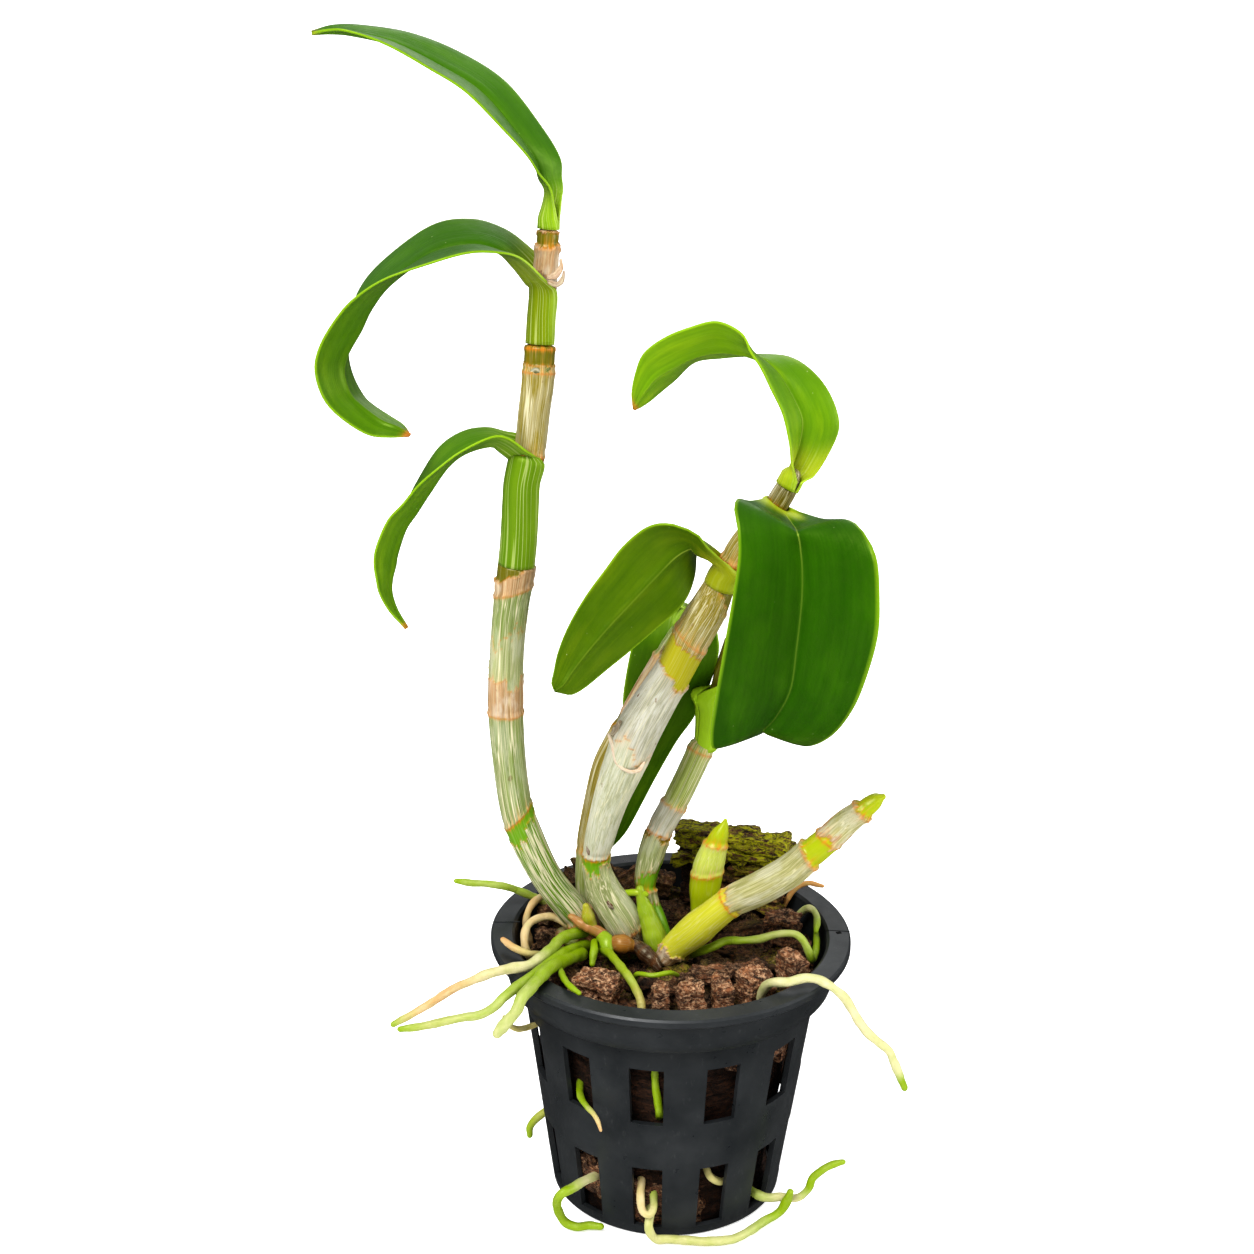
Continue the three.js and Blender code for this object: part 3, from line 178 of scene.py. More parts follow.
# Leaves: the cane and which of its wraps the sheath is, the side of the cane that the
# midrib lies on, how many first rows the sheath stands in for, the blade's green, how
# brown the tip is, the sheath's colour and how far it runs up the blade. Each row is
# the point midway between the margins, the vector from one margin to the other, and how
# far the midrib sinks below the line between them. A lean moves the midrib off the middle
# of its row. Flare widens the sheath's mouth, and shift moves it.
LEAVES = {
    "leaf_tall_top": {
        "cane": "cane_tall", "wrap": 2, "back": (-1, 0.2, 0), "skip": 2,
        "blade": 0x326204, "tip": 0.2, "tone": 0x7d9c18, "foot": 13,
        "rows": [
            (-30, 3, 244, 3.2, 3, -0.8, 2.2), (-29, 3, 248, 1, 4, -0.8, 3),
            (-28.7, 3, 251.5, 2.4, 5.5, -0.9, 2.7), (-30.2, 2.6, 255, 4.8, 8.6, -1.6, 2.6),
            (-31.6, 2, 259, 6.8, 12, -1.6, 2.3), (-36, 1, 265, 7.4, 15.3, -0.6, 2),
            (-44, 0, 274, 7.5, 16.3, 1.1, 1.8), (-53, -1, 279.5, 5.3, 16.5, 2.4, 1.6),
            (-63, -2, 284, 4.2, 14.3, 1.5, 1.4), (-72, -3, 286, 2.1, 10.8, 0.6, 1.2),
            (-77, -3, 286, 0.6, 5.9, 0.7, 0.8), (-81, -3, 285, -0.2, 0.9, 0.2, 0),
        ],
    },
    "leaf_tall_middle": {
        "cane": "cane_tall", "wrap": 1, "back": (-1, 0, 0), "skip": 1,
        "blade": 0x2c5a02, "tip": 1.0, "tone": 0x6c7a0c, "foot": 17,
        "rows": [
            (-29.5, 1, 229, -0.4, 6.2, 2, 5.4), (-31.5, 1, 234, -0.5, 9.8, 2.1, 5),
            (-36, 0, 238.5, 0.2, 15, 1, 4), (-41, -1, 241, -0.1, 17.7, 3, 2.5),
            (-48, -2, 242, -0.6, 19.4, 4.8, 2), (-57, -3, 240, -0.6, 19.7, 5.6, 2),
            (-67, -4, 234.5, -3, 20.3, 0.5, 3), (-73, -5, 229, -1.8, 19.8, -1.9, 4),
            (-76, -6, 223, 0.6, 18.4, -4.7, 4), (-78, -7, 217, 3.6, 17.4, -5.3, 3),
            (-78, -8, 212, 6, 16.3, -4.8, 2), (-76, -9, 207, 6.9, 14.2, -2.5, 1.5),
            (-73, -10, 204, 5.6, 11.8, 0.3, 1.5), (-68, -11, 201, 4.4, 8.1, 2.2, 1.2),
            (-64, -12, 200, 2.6, 5.2, 1.6, 0.8), (-61, -12, 199, 0.2, 0.9, 0.2, 0),
        ],
    },
    "leaf_tall_low": {
        "cane": "cane_tall", "wrap": 0, "back": (-1, -0.1, 0), "skip": 1,
        "blade": 0x3f6a08, "tip": 0.8, "tone": 0x5c7a10, "foot": 15,
        "rows": [
            (-32, -2, 190.5, -0.7, 6.4, 1.5, 6), (-35.5, -3, 195, -1.4, 7.7, 1.7, 5),
            (-40, -4, 197.5, -1.4, 9.9, -0.8, 4), (-44, -4, 198, -1.9, 11.8, -0.5, 3),
            (-50, -5, 196, -0.8, 13.4, 1.4, 2.5), (-55, -6, 192.5, -1.7, 13.9, 0.7, 2.5),
            (-60, -7, 186.5, -1.8, 13.5, -3.2, 3), (-63, -8, 182, -0.5, 13, -3.5, 3),
            (-66, -9, 178, 0.2, 12.4, -4, 3.2), (-68.5, -10, 172, 0.5, 11.4, -3.7, 3.6),
            (-69, -10, 168, 0.9, 10.4, -3.6, 3.4), (-68.5, -11, 164.5, 1.1, 8.4, -2.9, 2.2),
            (-68, -11, 161, 1.2, 6.4, -2.7, 1.6), (-66, -11, 157, 1.2, 3.6, -1.2, 0.8),
            (-63, -11, 153, 0.2, 0.9, 0.2, 0),
        ],
    },
    "leaf_middle_top": {
        "cane": "cane_middle", "wrap": 2, "back": (-0.68, 0.73, 0), "skip": 1,
        "blade": 0x557f0c, "tip": 0.8, "tone": 0x94a01a, "foot": 12, "stripes": 0.5,
        "rows": [
            (26.5, -11, 188, 3, 4, -2.6, 2.8), (27.5, -10, 191.5, 5.6, 5.2, -4, 4),
            (29, -9, 197, 10.2, 9, -3.5, 3.5), (29, -8, 203, 13.5, 9.4, -4.3, 3),
            (26.5, -7, 209, 13.9, 11, -3.1, 3), (23, -6, 214, 12.1, 13, -3.1, 2.5),
            (19, -5, 217, 9, 15.1, -3.9, 2), (14, -5, 219, 3.2, 15.8, -8, 2),
            (8, -5, 220, 1.9, 13.8, -10.7, 2.5), (2, -6, 219, 1.6, 13.4, -10.3, 2.5),
            (-3, -7, 216, 2.8, 9.5, -11.3, 2), (-7, -8, 213, 3.9, 5.5, -9.9, 1.6),
            (-9, -9, 210, 3.6, 2.7, -6.6, 1.2), (-10.5, -9, 207, 2.1, 2, -3.5, 0.6),
            (-11, -9, 205, 0.3, 0.8, -0.4, 0),
        ],
    },
    "leaf_middle_front": {
        "cane": "cane_middle", "wrap": 1, "back": (0, -1, 0), "skip": 1,
        "blade": 0x225000, "tip": 0.0, "tone": 0x9aa81c, "foot": 10, "stripes": 0.2,
        "rows": [
            (22, -12.5, 182.5, -6.4, 0.9, 2.5, 2), (23, -20, 185, -15.6, 1.2, 3.6, 3),
            (24, -27, 187, -23.9, 6.8, 2.6, 4.5), (25, -32, 186, -27.6, 8.7, 2.4, 5.5),
            (26.5, -36, 182, -29.2, 10.1, 3, 7), (27, -38, 175, -29.8, 10.3, 5.1, 7),
            (26.5, -39, 167, -30.6, 11.2, 5.1, 7), (25, -38, 156, -30.9, 7.7, 3.2, 7),
            (23, -36, 145, -30.1, 7.2, -1, 6), (21, -32, 136, -27.4, 4.9, -3, 5),
            (19.5, -27, 131, -22, 0, -1, 3.5), (20.5, -20, 130, -13, 2.6, 0, 2),
            (21, -15, 132, -0.9, 0.3, 0, 0),
        ],
        "lean": [-0.2, -0.17, -0.07, 0, 0.085, 0.09, 0.08, 0.03, -0.02, -0.02, 0, 0, 0],
    },
    "leaf_middle_left": {
        "cane": "cane_middle", "wrap": 0, "back": (-1, 0, 0), "skip": 1,
        "blade": 0x2f4e00, "tip": 0.0, "tone": 0x868a14, "foot": 8, "stripes": 0.2,
        "rows": [
            (10, -9, 167.5, -2, 3, -5, 2.5), (7, -10, 173, 0.9, 8.9, -2, 3),
            (4, -10, 175.5, 0.7, 12.1, -4.7, 3), (1, -10, 175, 5.8, 12.1, -10.4, 2.5),
            (-2, -11, 172, 10.7, 6.6, -14.3, 2), (-6, -12, 167, 13.7, 2, -14.6, 2),
            (-11, -13, 161.5, 11.9, 1.6, -14.7, 1.8), (-16, -14, 156, 11, 1.2, -12.9, 1.6),
            (-21, -15, 150, 8.9, 1.1, -10.8, 1.4), (-24.5, -16, 145, 6.6, 0, -8.2, 1),
            (-26.5, -17, 142, 4.4, 0, -5.4, 0.8), (-27.8, -17, 140.8, 2.6, -0.4, -2.4, 0.4),
            (-28.3, -17, 140.2, 0.6, 0.2, -0.6, 0),
        ],
    },
    "leaf_hidden": {
        "cane": "cane_hidden", "wrap": 0, "back": (0, 1, 0), "skip": 1,
        "blade": 0x265604, "tip": 0.0, "tone": 0x86a436, "foot": 10,
        "rows": [
            (3.8, 13.2, 152.5, 9, -1.5, -2.5, 1.5), (2, 14.5, 150, 15, -1.5, -4, 1.5),
            (1, 14, 146, 18.5, -1, -3, 1.6), (0, 12.5, 140, 21.3, -0.6, -1.4, 2),
            (-2, 15, 129, 21, 0, 0.7, 2), (-4, 16.5, 120, 18, -0.1, 1.3, 1.8),
            (-7, 17.5, 113, 15.8, -1.4, 2, 1.6), (-11, 18, 103, 13.4, 0, 0.6, 1.4),
            (-13.5, 18, 95, 10.7, 0, 0, 1.2), (-15, 18, 89, 7.4, -0.2, -0.6, 0.8),
            (-16, 18, 85, 3.3, -0.6, -0.3, 0.4), (-16.3, 18, 83.5, 0.8, -0.4, 0, 0),
        ],
    },
    "leaf_right": {
        "cane": "cane_right", "wrap": 0, "back": (0.78, 0.6, 0), "skip": 1,
        "blade": 0x2c5a06, "tip": 0.2, "tone": 0x86a81e, "foot": 14, "stripes": 0.15, "flare": 0.34,
        "shift": (-3.0, -0.8, 0), "closed": True,
        "rows": [
            (9.5, 12, 128.5, 0.3, -7.2, 2.1, 4.2), (13, 15, 131.5, 0.5, -11.5, 3.5, 3.4),
            (18, 20, 134.5, 0.8, -15.5, 4, 2.5), (26, 24, 137, 1, -17.5, 4, 2),
            (34, 28, 137, 1.3, -15.7, 3, 1.6), (40, 31, 134, 1, -10.8, 1.6, 1.2),
            (44, 33, 128, 0.8, -4.9, 0.4, 0.8), (46, 34, 125, 0.3, -0.8, 0.3, 0),
        ],
    },
}

# Roots: the radius at the foot and at the tip, the line they follow, and stops along
# them of how green and how dry the outer skin is.
ROOTS = {
    "root_left_long_upper": (1.5, 0.9, [
        (-20.3, 2.1, 68.5), (-26.5, -6.5, 71), (-29.7, -14.4, 71.6), (-34.1, -22.4, 71.9),
        (-38.5, -24.4, 72), (-43.5, -26.4, 71.6), (-48, -27.4, 70), (-52.2, -28, 68.2),
        (-59.3, -29, 63.6), (-66.2, -30, 59.7),
    ], [(0, 0.9, 0), (0.32, 0.75, 0), (0.42, 0.1, 0), (0.62, 0.05, 0.15), (0.75, 0, 0.75),
        (0.9, 0.1, 0.6), (1, 0.8, 0)]),
    "root_left_long_lower": (1.5, 0.9, [
        (-20.8, 0, 65.5), (-25.9, -9.4, 68.5), (-29.6, -20, 71), (-33.2, -28, 71.9),
        (-36.3, -32.6, 71.9), (-39.2, -36.5, 71.3), (-42, -38, 69), (-45.3, -38, 67.1),
        (-49.7, -38, 66.2), (-58.2, -38, 64), (-63.6, -38, 63.1),
    ], [(0, 1, 0), (0.45, 0.9, 0), (0.7, 0.55, 0), (0.9, 0.5, 0.1), (1, 0.9, 0)]),
    "root_left_hanging": (1.6, 1.4, [
        (-22, -6, 66), (-26.6, -15.6, 69.2), (-29.6, -24.5, 72), (-33.2, -33.6, 72.2),
        (-35.3, -37.6, 71.6), (-36.3, -38.4, 69), (-38.3, -38.4, 66.2), (-40.9, -38.4, 62.6),
    ], [(0, 1, 0), (0.6, 0.8, 0), (0.85, 0.45, 0), (1, 0.3, 0)]),
    "root_left_raised": (1.05, 0.85, [
        (-27, 17, 62), (-32, 14.6, 69.4), (-36, 12.9, 72.6), (-39.8, 11.4, 75), (-42.8, 10, 76.6),
        (-46.7, 10, 77.1), (-50.5, 10, 77.3), (-54.3, 10, 77.8),
    ], [(0, 0.5, 0.1), (0.5, 0.75, 0), (0.7, 0.7, 0), (0.95, 0.75, 0), (1, 1, 0)]),
    "root_left_under": (0.8, 0.7, [
        (-27, -10.2, 49.6), (-31.6, -11.8, 50), (-35, -14.6, 50.3), (-37.4, -18.5, 52),
        (-39.3, -21, 54.6), (-40.4, -22, 57.2),
    ], [(0, 0.4, 0.4), (1, 0.35, 0.3)]),
    "root_loop_outer": (0.95, 0.95, [
        (-26, 24, 63), (-30.5, 19.1, 69), (-33.2, 14.7, 71.2), (-35.2, 9.7, 71.6), (-36.2, 7.4, 70.2),
        (-36.6, 7, 66.5), (-35.5, 8.5, 61),
    ], [(0, 0.1, 0.5), (1, 0, 0.7)]),
    "root_loop_inner": (1, 1, [
        (-24.4, 6, 65), (-26.3, 2.3, 70), (-29.6, 2.2, 72), (-33.4, 0.5, 72.4), (-35.8, -2.3, 71.7),
        (-36.4, -5.4, 69.6), (-35.6, -6.6, 66.5), (-33.5, -4, 62),
    ], [(0, 0.1, 0.5), (0.6, 0, 0.45), (1, 0.1, 0.6)]),
    "root_stub_dry": (1, 0.8, [
        (-28, -3, 63), (-31.9, -12.2, 69), (-35.1, -16, 71.5), (-38.7, -13.9, 72),
        (-41.3, -10.8, 72.3),
    ], [(0, 0.5, 0.2), (0.7, 0.3, 0.4), (1, 0, 0.9)]),
    "root_front_green": (1.1, 1, [
        (-17.4, -4.3, 66.5), (-15.6, -10.2, 69), (-13.5, -16.6, 70), (-11, -22.9, 70),
        (-9, -26.1, 68.4), (-7.4, -29.6, 66), (-7.2, -31, 62),
    ], [(0, 1, 0), (0.7, 0.8, 0.1), (1, 0.3, 0.6)]),
    "root_front_thin": (0.65, 0.6, [
        (-9, -17, 64.5), (-8.3, -20, 68.4), (-4.6, -22.4, 69.4), (-0.5, -20.6, 69.2), (1.6, -16, 66),
    ], [(0, 0.9, 0), (1, 0.9, 0)]),
    "root_short_green": (1.1, 0.9, [(-17.6, -1.8, 66), (-18.9, -5, 68.8), (-19, -9.3, 69),
                                    (-19.4, -11.6, 66.6)],
                         [(0, 1, 0), (1, 1, 0)]),
    "root_rim_small": (0.8, 0.75, [
        (-26.6, 0, 63), (-27.6, -12, 67), (-26.4, -24.3, 70.4), (-24.6, -30.7, 71.2),
        (-22.1, -34.4, 71.2),
    ], [(0, 0.8, 0), (1, 0.9, 0)]),
    "root_right_across": (1.05, 0.9, [
        (3.6, 1, 62), (6.1, -4.6, 66), (10, -6.4, 68.6), (13.7, -5.6, 70), (17.8, -6, 70.4),
        (21.8, -6.3, 71), (25.9, -6.8, 72.6), (30.3, -7.2, 73), (32.4, -8.6, 72), (34, -9.4, 69),
        (34.9, -8.2, 66.4), (36, -4.4, 66.2), (36.6, -1.4, 67), (36.8, 2.5, 68),
    ], [(0, 0.9, 0), (0.35, 0.85, 0), (0.55, 0.5, 0.05), (0.75, 0.75, 0), (1, 0.95, 0)]),
    "root_right_inside": (0.95, 0.85, [(30, 17, 61), (34.4, 12.6, 69.4), (36.4, 8.4, 71.6), (37, 4, 71.4),
                                       (36.4, -0.2, 70.4)],
                          [(0, 0.4, 0), (0.6, 0.2, 0), (1, 0.9, 0)]),
    "root_right_over": (1.15, 1.05, [
        (20, -23, 61), (22, -26.8, 69), (24, -29.4, 71.8), (27, -30.2, 72.4), (30.8, -28.6, 72.6),
        (33.9, -28.3, 72.3), (36.8, -29.2, 71.3), (39.1, -30, 69.9), (41.3, -30, 67.5),
        (44.7, -30, 61.6), (47, -30, 58.6), (50, -30, 55.9), (52, -30, 54.1), (53.4, -30, 51.1),
        (56.2, -30, 44.2),
    ], [(0, 0.2, 0), (0.35, 0.1, 0), (0.7, 0.05, 0.06), (0.92, 0.15, 0), (0.97, 0.9, 0), (1, 1, 0)]),
    "root_back_dark": (0.8, 0.6, [(27.5, 19.5, 61), (31.6, 20, 70.4), (35.4, 19.6, 73.6), (39.4, 17.4, 74)],
                       [(0, 0.6, 0.9), (1, 0.5, 1)]),
    "root_foot_left": (1.15, 1.15, [
        (-14.5, -18, 11.6), (-17.6, -22.8, 13.4), (-20.4, -27, 14.8), (-23.6, -31, 15.2),
        (-26.4, -32.6, 14.4), (-27.4, -30, 10), (-26.8, -27.6, 5.4), (-25.3, -27.2, 2.6),
        (-22.5, -27.8, 1.8), (-19.3, -27.2, 1.8), (-16.8, -27.6, 1.8),
    ], [(0, 0.1, 0.1), (0.3, 0.15, 0), (0.4, 0.8, 0), (0.6, 1, 0), (1, 0.9, 0)]),
    "root_side_left": (1.05, 1, [
        (-25, 4.2, 15), (-29.9, 5, 14.7), (-32, 5, 13.5), (-34.5, 5, 11.1), (-35.8, 5, 8.7),
        (-35.8, 5, 6.6),
    ], [(0, 0.6, 0.2), (0.5, 0.7, 0.2), (1, 1, 0)]),
    "root_slot_tan": (1, 0.95, [
        (-6.4, -23.5, 15.6), (-6.8, -29.3, 12.6), (-6.4, -31.8, 9.9), (-4.9, -32.8, 9.1),
        (-3.6, -31.4, 10), (-3.6, -26, 11.6),
    ], [(0, 0.1, 0.4), (0.5, 0, 0.35), (0.8, 0.5, 0.1), (1, 0.8, 0)]),
    "root_foot_front": (1.15, 1.1, [
        (-4.2, -24, 7.6), (-4.5, -30.6, 7.4), (-4.6, -32.8, 4.8), (-2.9, -32.4, 1.9),
        (0.4, -32.2, 1.7), (4.1, -32.4, 1.6), (10, -32.8, 1.6), (16.2, -31.6, 1.6), (20.4, -28.4, 1.6),
        (24.2, -24.4, 1.6), (28.2, -21.8, 2.5), (30, -22, 6), (30.6, -23, 9.2),
    ], [(0, 0.5, 0.1), (0.2, 0.3, 0.1), (0.45, 0.4, 0.1), (0.65, 0.4, 0), (0.85, 0.9, 0), (1, 1, 0)]),
    "root_foot_right": (1.15, 0.9, [
        (19, -16, 6.5), (23.2, -19.2, 5.6), (25.8, -20, 5.5), (28.2, -20, 5.8), (31.3, -20, 5.4),
        (33.6, -20, 6), (35.5, -20, 8.4), (36.4, -20, 11.4), (38.3, -20, 13.5), (41, -20, 15.3),
        (43.6, -20, 16.2),
    ], [(0, 1, 0), (0.25, 0.4, 0.05), (0.45, 0.1, 0.15), (0.55, 0.5, 0), (0.65, 0.9, 0), (1, 1, 0)]),
    "root_slot_upright": (1, 0.95, [
        (-4, -25, 53), (-3.9, -30.2, 49.2), (-3.7, -31.4, 45), (-3, -31.3, 40), (-2.6, -30.6, 36.4),
        (-2.6, -25, 31),
    ], [(0, 1, 0), (1, 1, 0)]),
    "root_slot_tail": (0.95, 0.45, [
        (-22, -20, 38.6), (-21.8, -26, 38.2), (-20.2, -30.6, 38.2), (-18.6, -33, 37.8),
        (-17.4, -34.2, 36.4), (-16.7, -34.6, 34.2),
    ], [(0, 1, 0), (0.6, 0.9, 0), (0.85, 0.2, 0.5), (1, 0, 0.9)]),
    "root_slot_cross": (0.95, 0.9, [(8.5, -23, 20.4), (10, -26.6, 16.6), (12.8, -25.2, 13.7),
                                    (16, -19, 10.2)],
                        [(0, 0.3, 0.3), (1, 0.4, 0.2)]),
}

RHIZOME = [
    (-27, 4, 66, 2.2), (-23.5, 4, 65.5, 3.4), (-18, 4.5, 64, 3.4), (-12, 3, 63.5, 3.8),
    (-6, 2.5, 64.5, 3.3), (-1, -2, 64.5, 3.2), (3, -3, 65, 2.4),
]

# Knobs on the rhizome: ground colour, a second colour, how scaly, and a line with radii.
KNOBS = [
    (0x6e8a0e, 0x93a626, 0.05, [(-7.8, 1, 80.6, 1.0), (-7.2, 0.5, 78, 1.5), (-6, -0.6, 74.5, 2.3),
                                (-4.8, -1.6, 71.4, 2.7),
                               (-3.8, -2.4, 68.4, 3.0), (-3, -2.8, 65.6, 2.4)]),
    (0x7f9a10, 0x95a81c, 0.1, [(-13.4, 3.4, 77.2, 0.8), (-11.3, 2, 79, 0.9), (-8.4, 0.8, 79.8, 0.9),
                               (-6.4, 0.5, 79.4, 0.8)]),
    (0x9a8a1c, 0x8f9c20, 0.5, [(-21.2, -2.4, 77.4, 0.9), (-20.7, -2.6, 75, 1.7), (-19.8, -2.8, 72.6, 1.4)]),
    (0xa86c44, 0x8a7030, 0.3, [(-25, -1.4, 74, 0.8), (-21.6, -3, 72.6, 1.4), (-17.4, -3.4, 70.6, 1.4),
                               (-15.6, -3.4, 69, 0.9)]),
    (0x6e3e0a, 0xa0722a, 0.2, [(-14.8, -5.8, 69, 1.5), (-13.2, -6.4, 69.4, 2.2), (-11.4, -6.5, 69.3, 2.3),
                               (-9.8, -6.2, 68.7, 1.6)]),
    (0x1e0e06, 0x4a2c16, 0.25, [(-8.6, -6, 68.8, 1.5), (-6.4, -7.8, 67.6, 2.0), (-4.6, -9.2, 66.4, 1.7),
                                (-3.2, -10.4, 65, 1.0)]),
    (0x6f8c0e, 0x8ea81e, 0.1, [(-17.4, -3, 70, 1.5), (-16, -6, 69.6, 1.9), (-15.6, -8, 68, 1.4)]),
]

# Loose pieces of bark on the top: centre, size, turn about the upright in degrees, how
# finely each is cut, and how red, how pale and how mossy it is. The paleness is partly
# the bark's own pale layers and partly a painted highlight.
BARK = {
    "bark_mossy_back": ((16, 23.2, 75.5), (31, 8, 26), -22, 26, 0.1, 0.1, 1.0),
    "bark_golden_left": ((-18.2, -24.6, 66.8), (11, 8, 8), -18, 18, 1.0, 1.0, 0.0),
    "bark_front_first": ((-3, -28.4, 66), (4.4, 7, 9), 4, 16, 0.9, 0.75, 0.0),
    "bark_front_second": ((4.4, -28.4, 66.6), (6.4, 7.4, 9.4), 7, 16, 1.0, 0.95, 0.0),
    "bark_front_third": ((11.6, -27.2, 67), (4.7, 7.4, 9.4), 18, 16, 0.9, 0.8, 0.0),
    "bark_front_fourth": ((20, -22.4, 66.2), (8.2, 7, 9.6), 36, 16, 1.0, 0.9, 0.0),
    "bark_front_fifth": ((29.2, -14.6, 67), (5, 8.4, 10), 38, 16, 0.9, 0.8, 0.0),
    "bark_plate": ((14, -14.4, 66.4), (19, 6.4, 3.2), 16, 14, 0.5, 0.4, 0.0),
    "bark_block_right": ((28.6, 6.2, 67.4), (9, 8, 8.4), -8, 13, 0.6, 0.45, 0.0),
    "bark_small_right": ((33.6, -1.8, 65.6), (3, 6.4, 6), 6, 9, 0.4, 0.3, 0.0),
    "bark_sliver_left": ((-22.2, 25, 70), (6.5, 4, 16), 40, 10, 0.2, 0.1, 0.1),
}

# Bark heaped at the back left: centre, size, turn, lean and roll in degrees, and how red.
BACK_CHIPS = [
    ((-26.4, 21, 74.5), (5, 2.2, 4), 20, -20, 40, 0.1),
    ((-24.6, 23, 70), (11, 4, 6), 14, 10, -12, 0.35), ((-14, 25.5, 71), (9, 4, 8), -10, 12, 16, 0.4),
    ((-9.4, 22, 73), (8, 4, 6.5), 12, -10, -24, 0.5), ((-3.6, 24.5, 70.4), (9, 5, 6), -6, 14, 8, 0.3),
    ((-31, 13, 67.5), (8, 5, 4), 60, 12, 0, 0.5),
]

# The mossy slab's broken strips: how far along, back and up from its middle, length,
# depth and height, the roll in degrees, and how mossy and how red each is.
STRIPS = [
    (7, -0.4, 9.6, 18, 7.6, 5.4, -1, 1.0, 0.4), (-7, 0.2, 8.6, 17, 7.4, 5, -7, 1.0, 0.4),
    (3, -0.8, 5.2, 24, 8, 3.6, -5, 1.0, 0.4), (-10, -0.6, 2.6, 12, 8.4, 3.6, -20, 0.95, 0.4),
    (8, -0.3, 2.2, 15, 7.2, 3, -6, 0.6, 0.8), (-1, -0.2, -0.6, 20, 7, 2.8, 4, 0.3, 1.0),
    (4, -0.5, -3.6, 22, 7.8, 2.8, 7, 0.12, 0.9), (8, -0.8, -7, 13, 8, 3.6, 9, 0.5, 0.8),
    # The ninth strip is a dark plate behind the others, neither red nor mossy, so the gaps between them
    # show dark: a painted shade.
    (0, 2.2, -1.6, 29, 3.4, 22, 0, 0.0, 0.0), (-3, 0.8, -9.4, 22, 6, 6, 0, 0.0, 0.1),
]

SLOT_ROWS = [(3.1, 21.3), (35.1, 51.4)]
SLOT_PHASE = -9.6
SLOT_HALF_ANGLE = 6.7
SLOTS_ROUND = 12
WALL_SPREAD = 0.138
FLOOR_SLOTS = 6
FLOOR_SLOT_HALF_ANGLE = 7
FLOOR_SLOT_REACH = (11, 25)
FLOOR_THICKNESS = 1.6

# The parting lines and the pin hole on the rim: place, turn in degrees, length, width and height.
# The right-hand line and the pin hole are raised near-black boxes: a painted shade standing for the groove
# and the hole.
RIM_MARKS = [
    (-41.2, 3.0, 1.5, 6.6, 0.26, 0.16), (41.9, 0.5, -6, 6.2, 0.3, 0.05),
    (42.1, -0.5, 20, 1.3, 1.1, 0.06),
]

# How finely each cane is built: points round it and the step along it in millimetres.
CANE_GRAIN = {
    "cane_tall": (64, 0.42), "cane_middle": (64, 0.42), "cane_right": (48, 0.5),
    "cane_hidden": (36, 0.8), "cane_young": (56, 0.42), "shoot_new": (44, 0.42),
}
LEAF_COLUMNS = 36
LEAF_STEP = 0.9
ROOT_COLUMNS = 18
ROOT_STEP = 0.7
WALL_CHIP_SHARE = 0.66
ROOM_IN_WALL = 1.75

# The camera: tilt and roll in degrees, lens and frame in pixels, and place in metres.
CAMERA_TILT = 19.08
CAMERA_ROLL = 0.72
LENS_PIXELS = 2000.0
FRAME_PIXELS = 1254.0
SENSOR_WIDTH = 36.0
CAMERA_PLACE = (-0.01189, -0.44904, 0.30544)


def tint(value):
    """A colour from its six hexadecimal digits, as the renderer counts it."""
    parts = [(value >> shift & 255) / 255 for shift in (16, 8, 0)]
    return tuple(p / 12.92 if p <= 0.04045 else ((p + 0.055) / 1.055) ** 2.4 for p in parts)


# Each cane finish: its ground colour, how strongly pale veins show on it, how dry and
# papery it is, and how far it stands out from the flesh beneath, in millimetres.
CANE_FINISHES = {
    "net": (tint(0x668c1c), 1.6, 0.2, 0.10),
    "veined": (tint(0x7c8c4e), 1.0, 0.5, 0.12),
    "silver": (tint(0x959c6c), 0.9, 0.65, 0.16),
    "white": (tint(0xa5a397), 0.4, 1.0, 0.24),
    "cream": (tint(0xa39f6c), 0.6, 0.85, 0.24),
    "straw": (tint(0x8c7c2c), 0.8, 0.45, 0.14),
    "tan": (tint(0xa98460), 0.45, 1.0, 0.26),
    "blush": (tint(0xa86a44), 0.5, 0.8, 0.2),
    "brown": (tint(0x4c2c1c), 0.5, 0.6, 0.0),
    "olive": (tint(0x5e5a02), 0.12, 0.0, 0.0),
    "umber": (tint(0x625814), 1.1, 0.3, 0.08),
    "mist": (tint(0x8f9c50), 1.0, 0.55, 0.14),
    "ash": (tint(0xb3b4a0), 0.6, 0.9, 0.12),
    "yellow": (tint(0x969004), 0.15, 0.0, 0.02),
    "butter": (tint(0xb4b22e), 0.25, 0.0, 0.02),
    "lime": (tint(0x96a206), 0.08, 0.0, 0.0),
    "pale": (tint(0xb2bb50), 0.4, 0.12, 0.06),
    "fresh": (tint(0x5f8c0e), 0.1, 0.0, 0.0),
}


def blend(low, high, amount):
    """Two rows of numbers mixed by an amount from 0 to 1."""
    return tuple(a + (b - a) * amount for a, b in zip(low, high))


def step_between(low, high, value):
    """A soft step from 0 at low to 1 at high."""
    t = min(max((value - low) / (high - low), 0.0), 1.0)
    return t * t * (3 - 2 * t)


def ripple(x, y, z):
    """Soft noise from -1 to 1."""
    return noise.noise(Vector((x, y, z)))


def smooth_rows(rows, t):
    """One smooth line through rows of numbers, read at t from 0 to 1."""
    last = len(rows) - 1
    place = min(max(t, 0.0), 1.0) * last
    i = min(int(place), last - 1)
    u = place - i
    here, there = rows[i], rows[i + 1]
    before = rows[i - 1] if i > 0 else [2 * a - b for a, b in zip(here, there)]
    after = rows[i + 2] if i + 2 <= last else [2 * b - a for a, b in zip(here, there)]
    smooth = []
    for a, b, c, d in zip(before, here, there, after):
        bend = 2 * a - 5 * b + 4 * c - d
        twist = 3 * b - a - 3 * c + d
        smooth.append(0.5 * (2 * b + (c - a) * u + bend * u * u + twist * u * u * u))
    return smooth


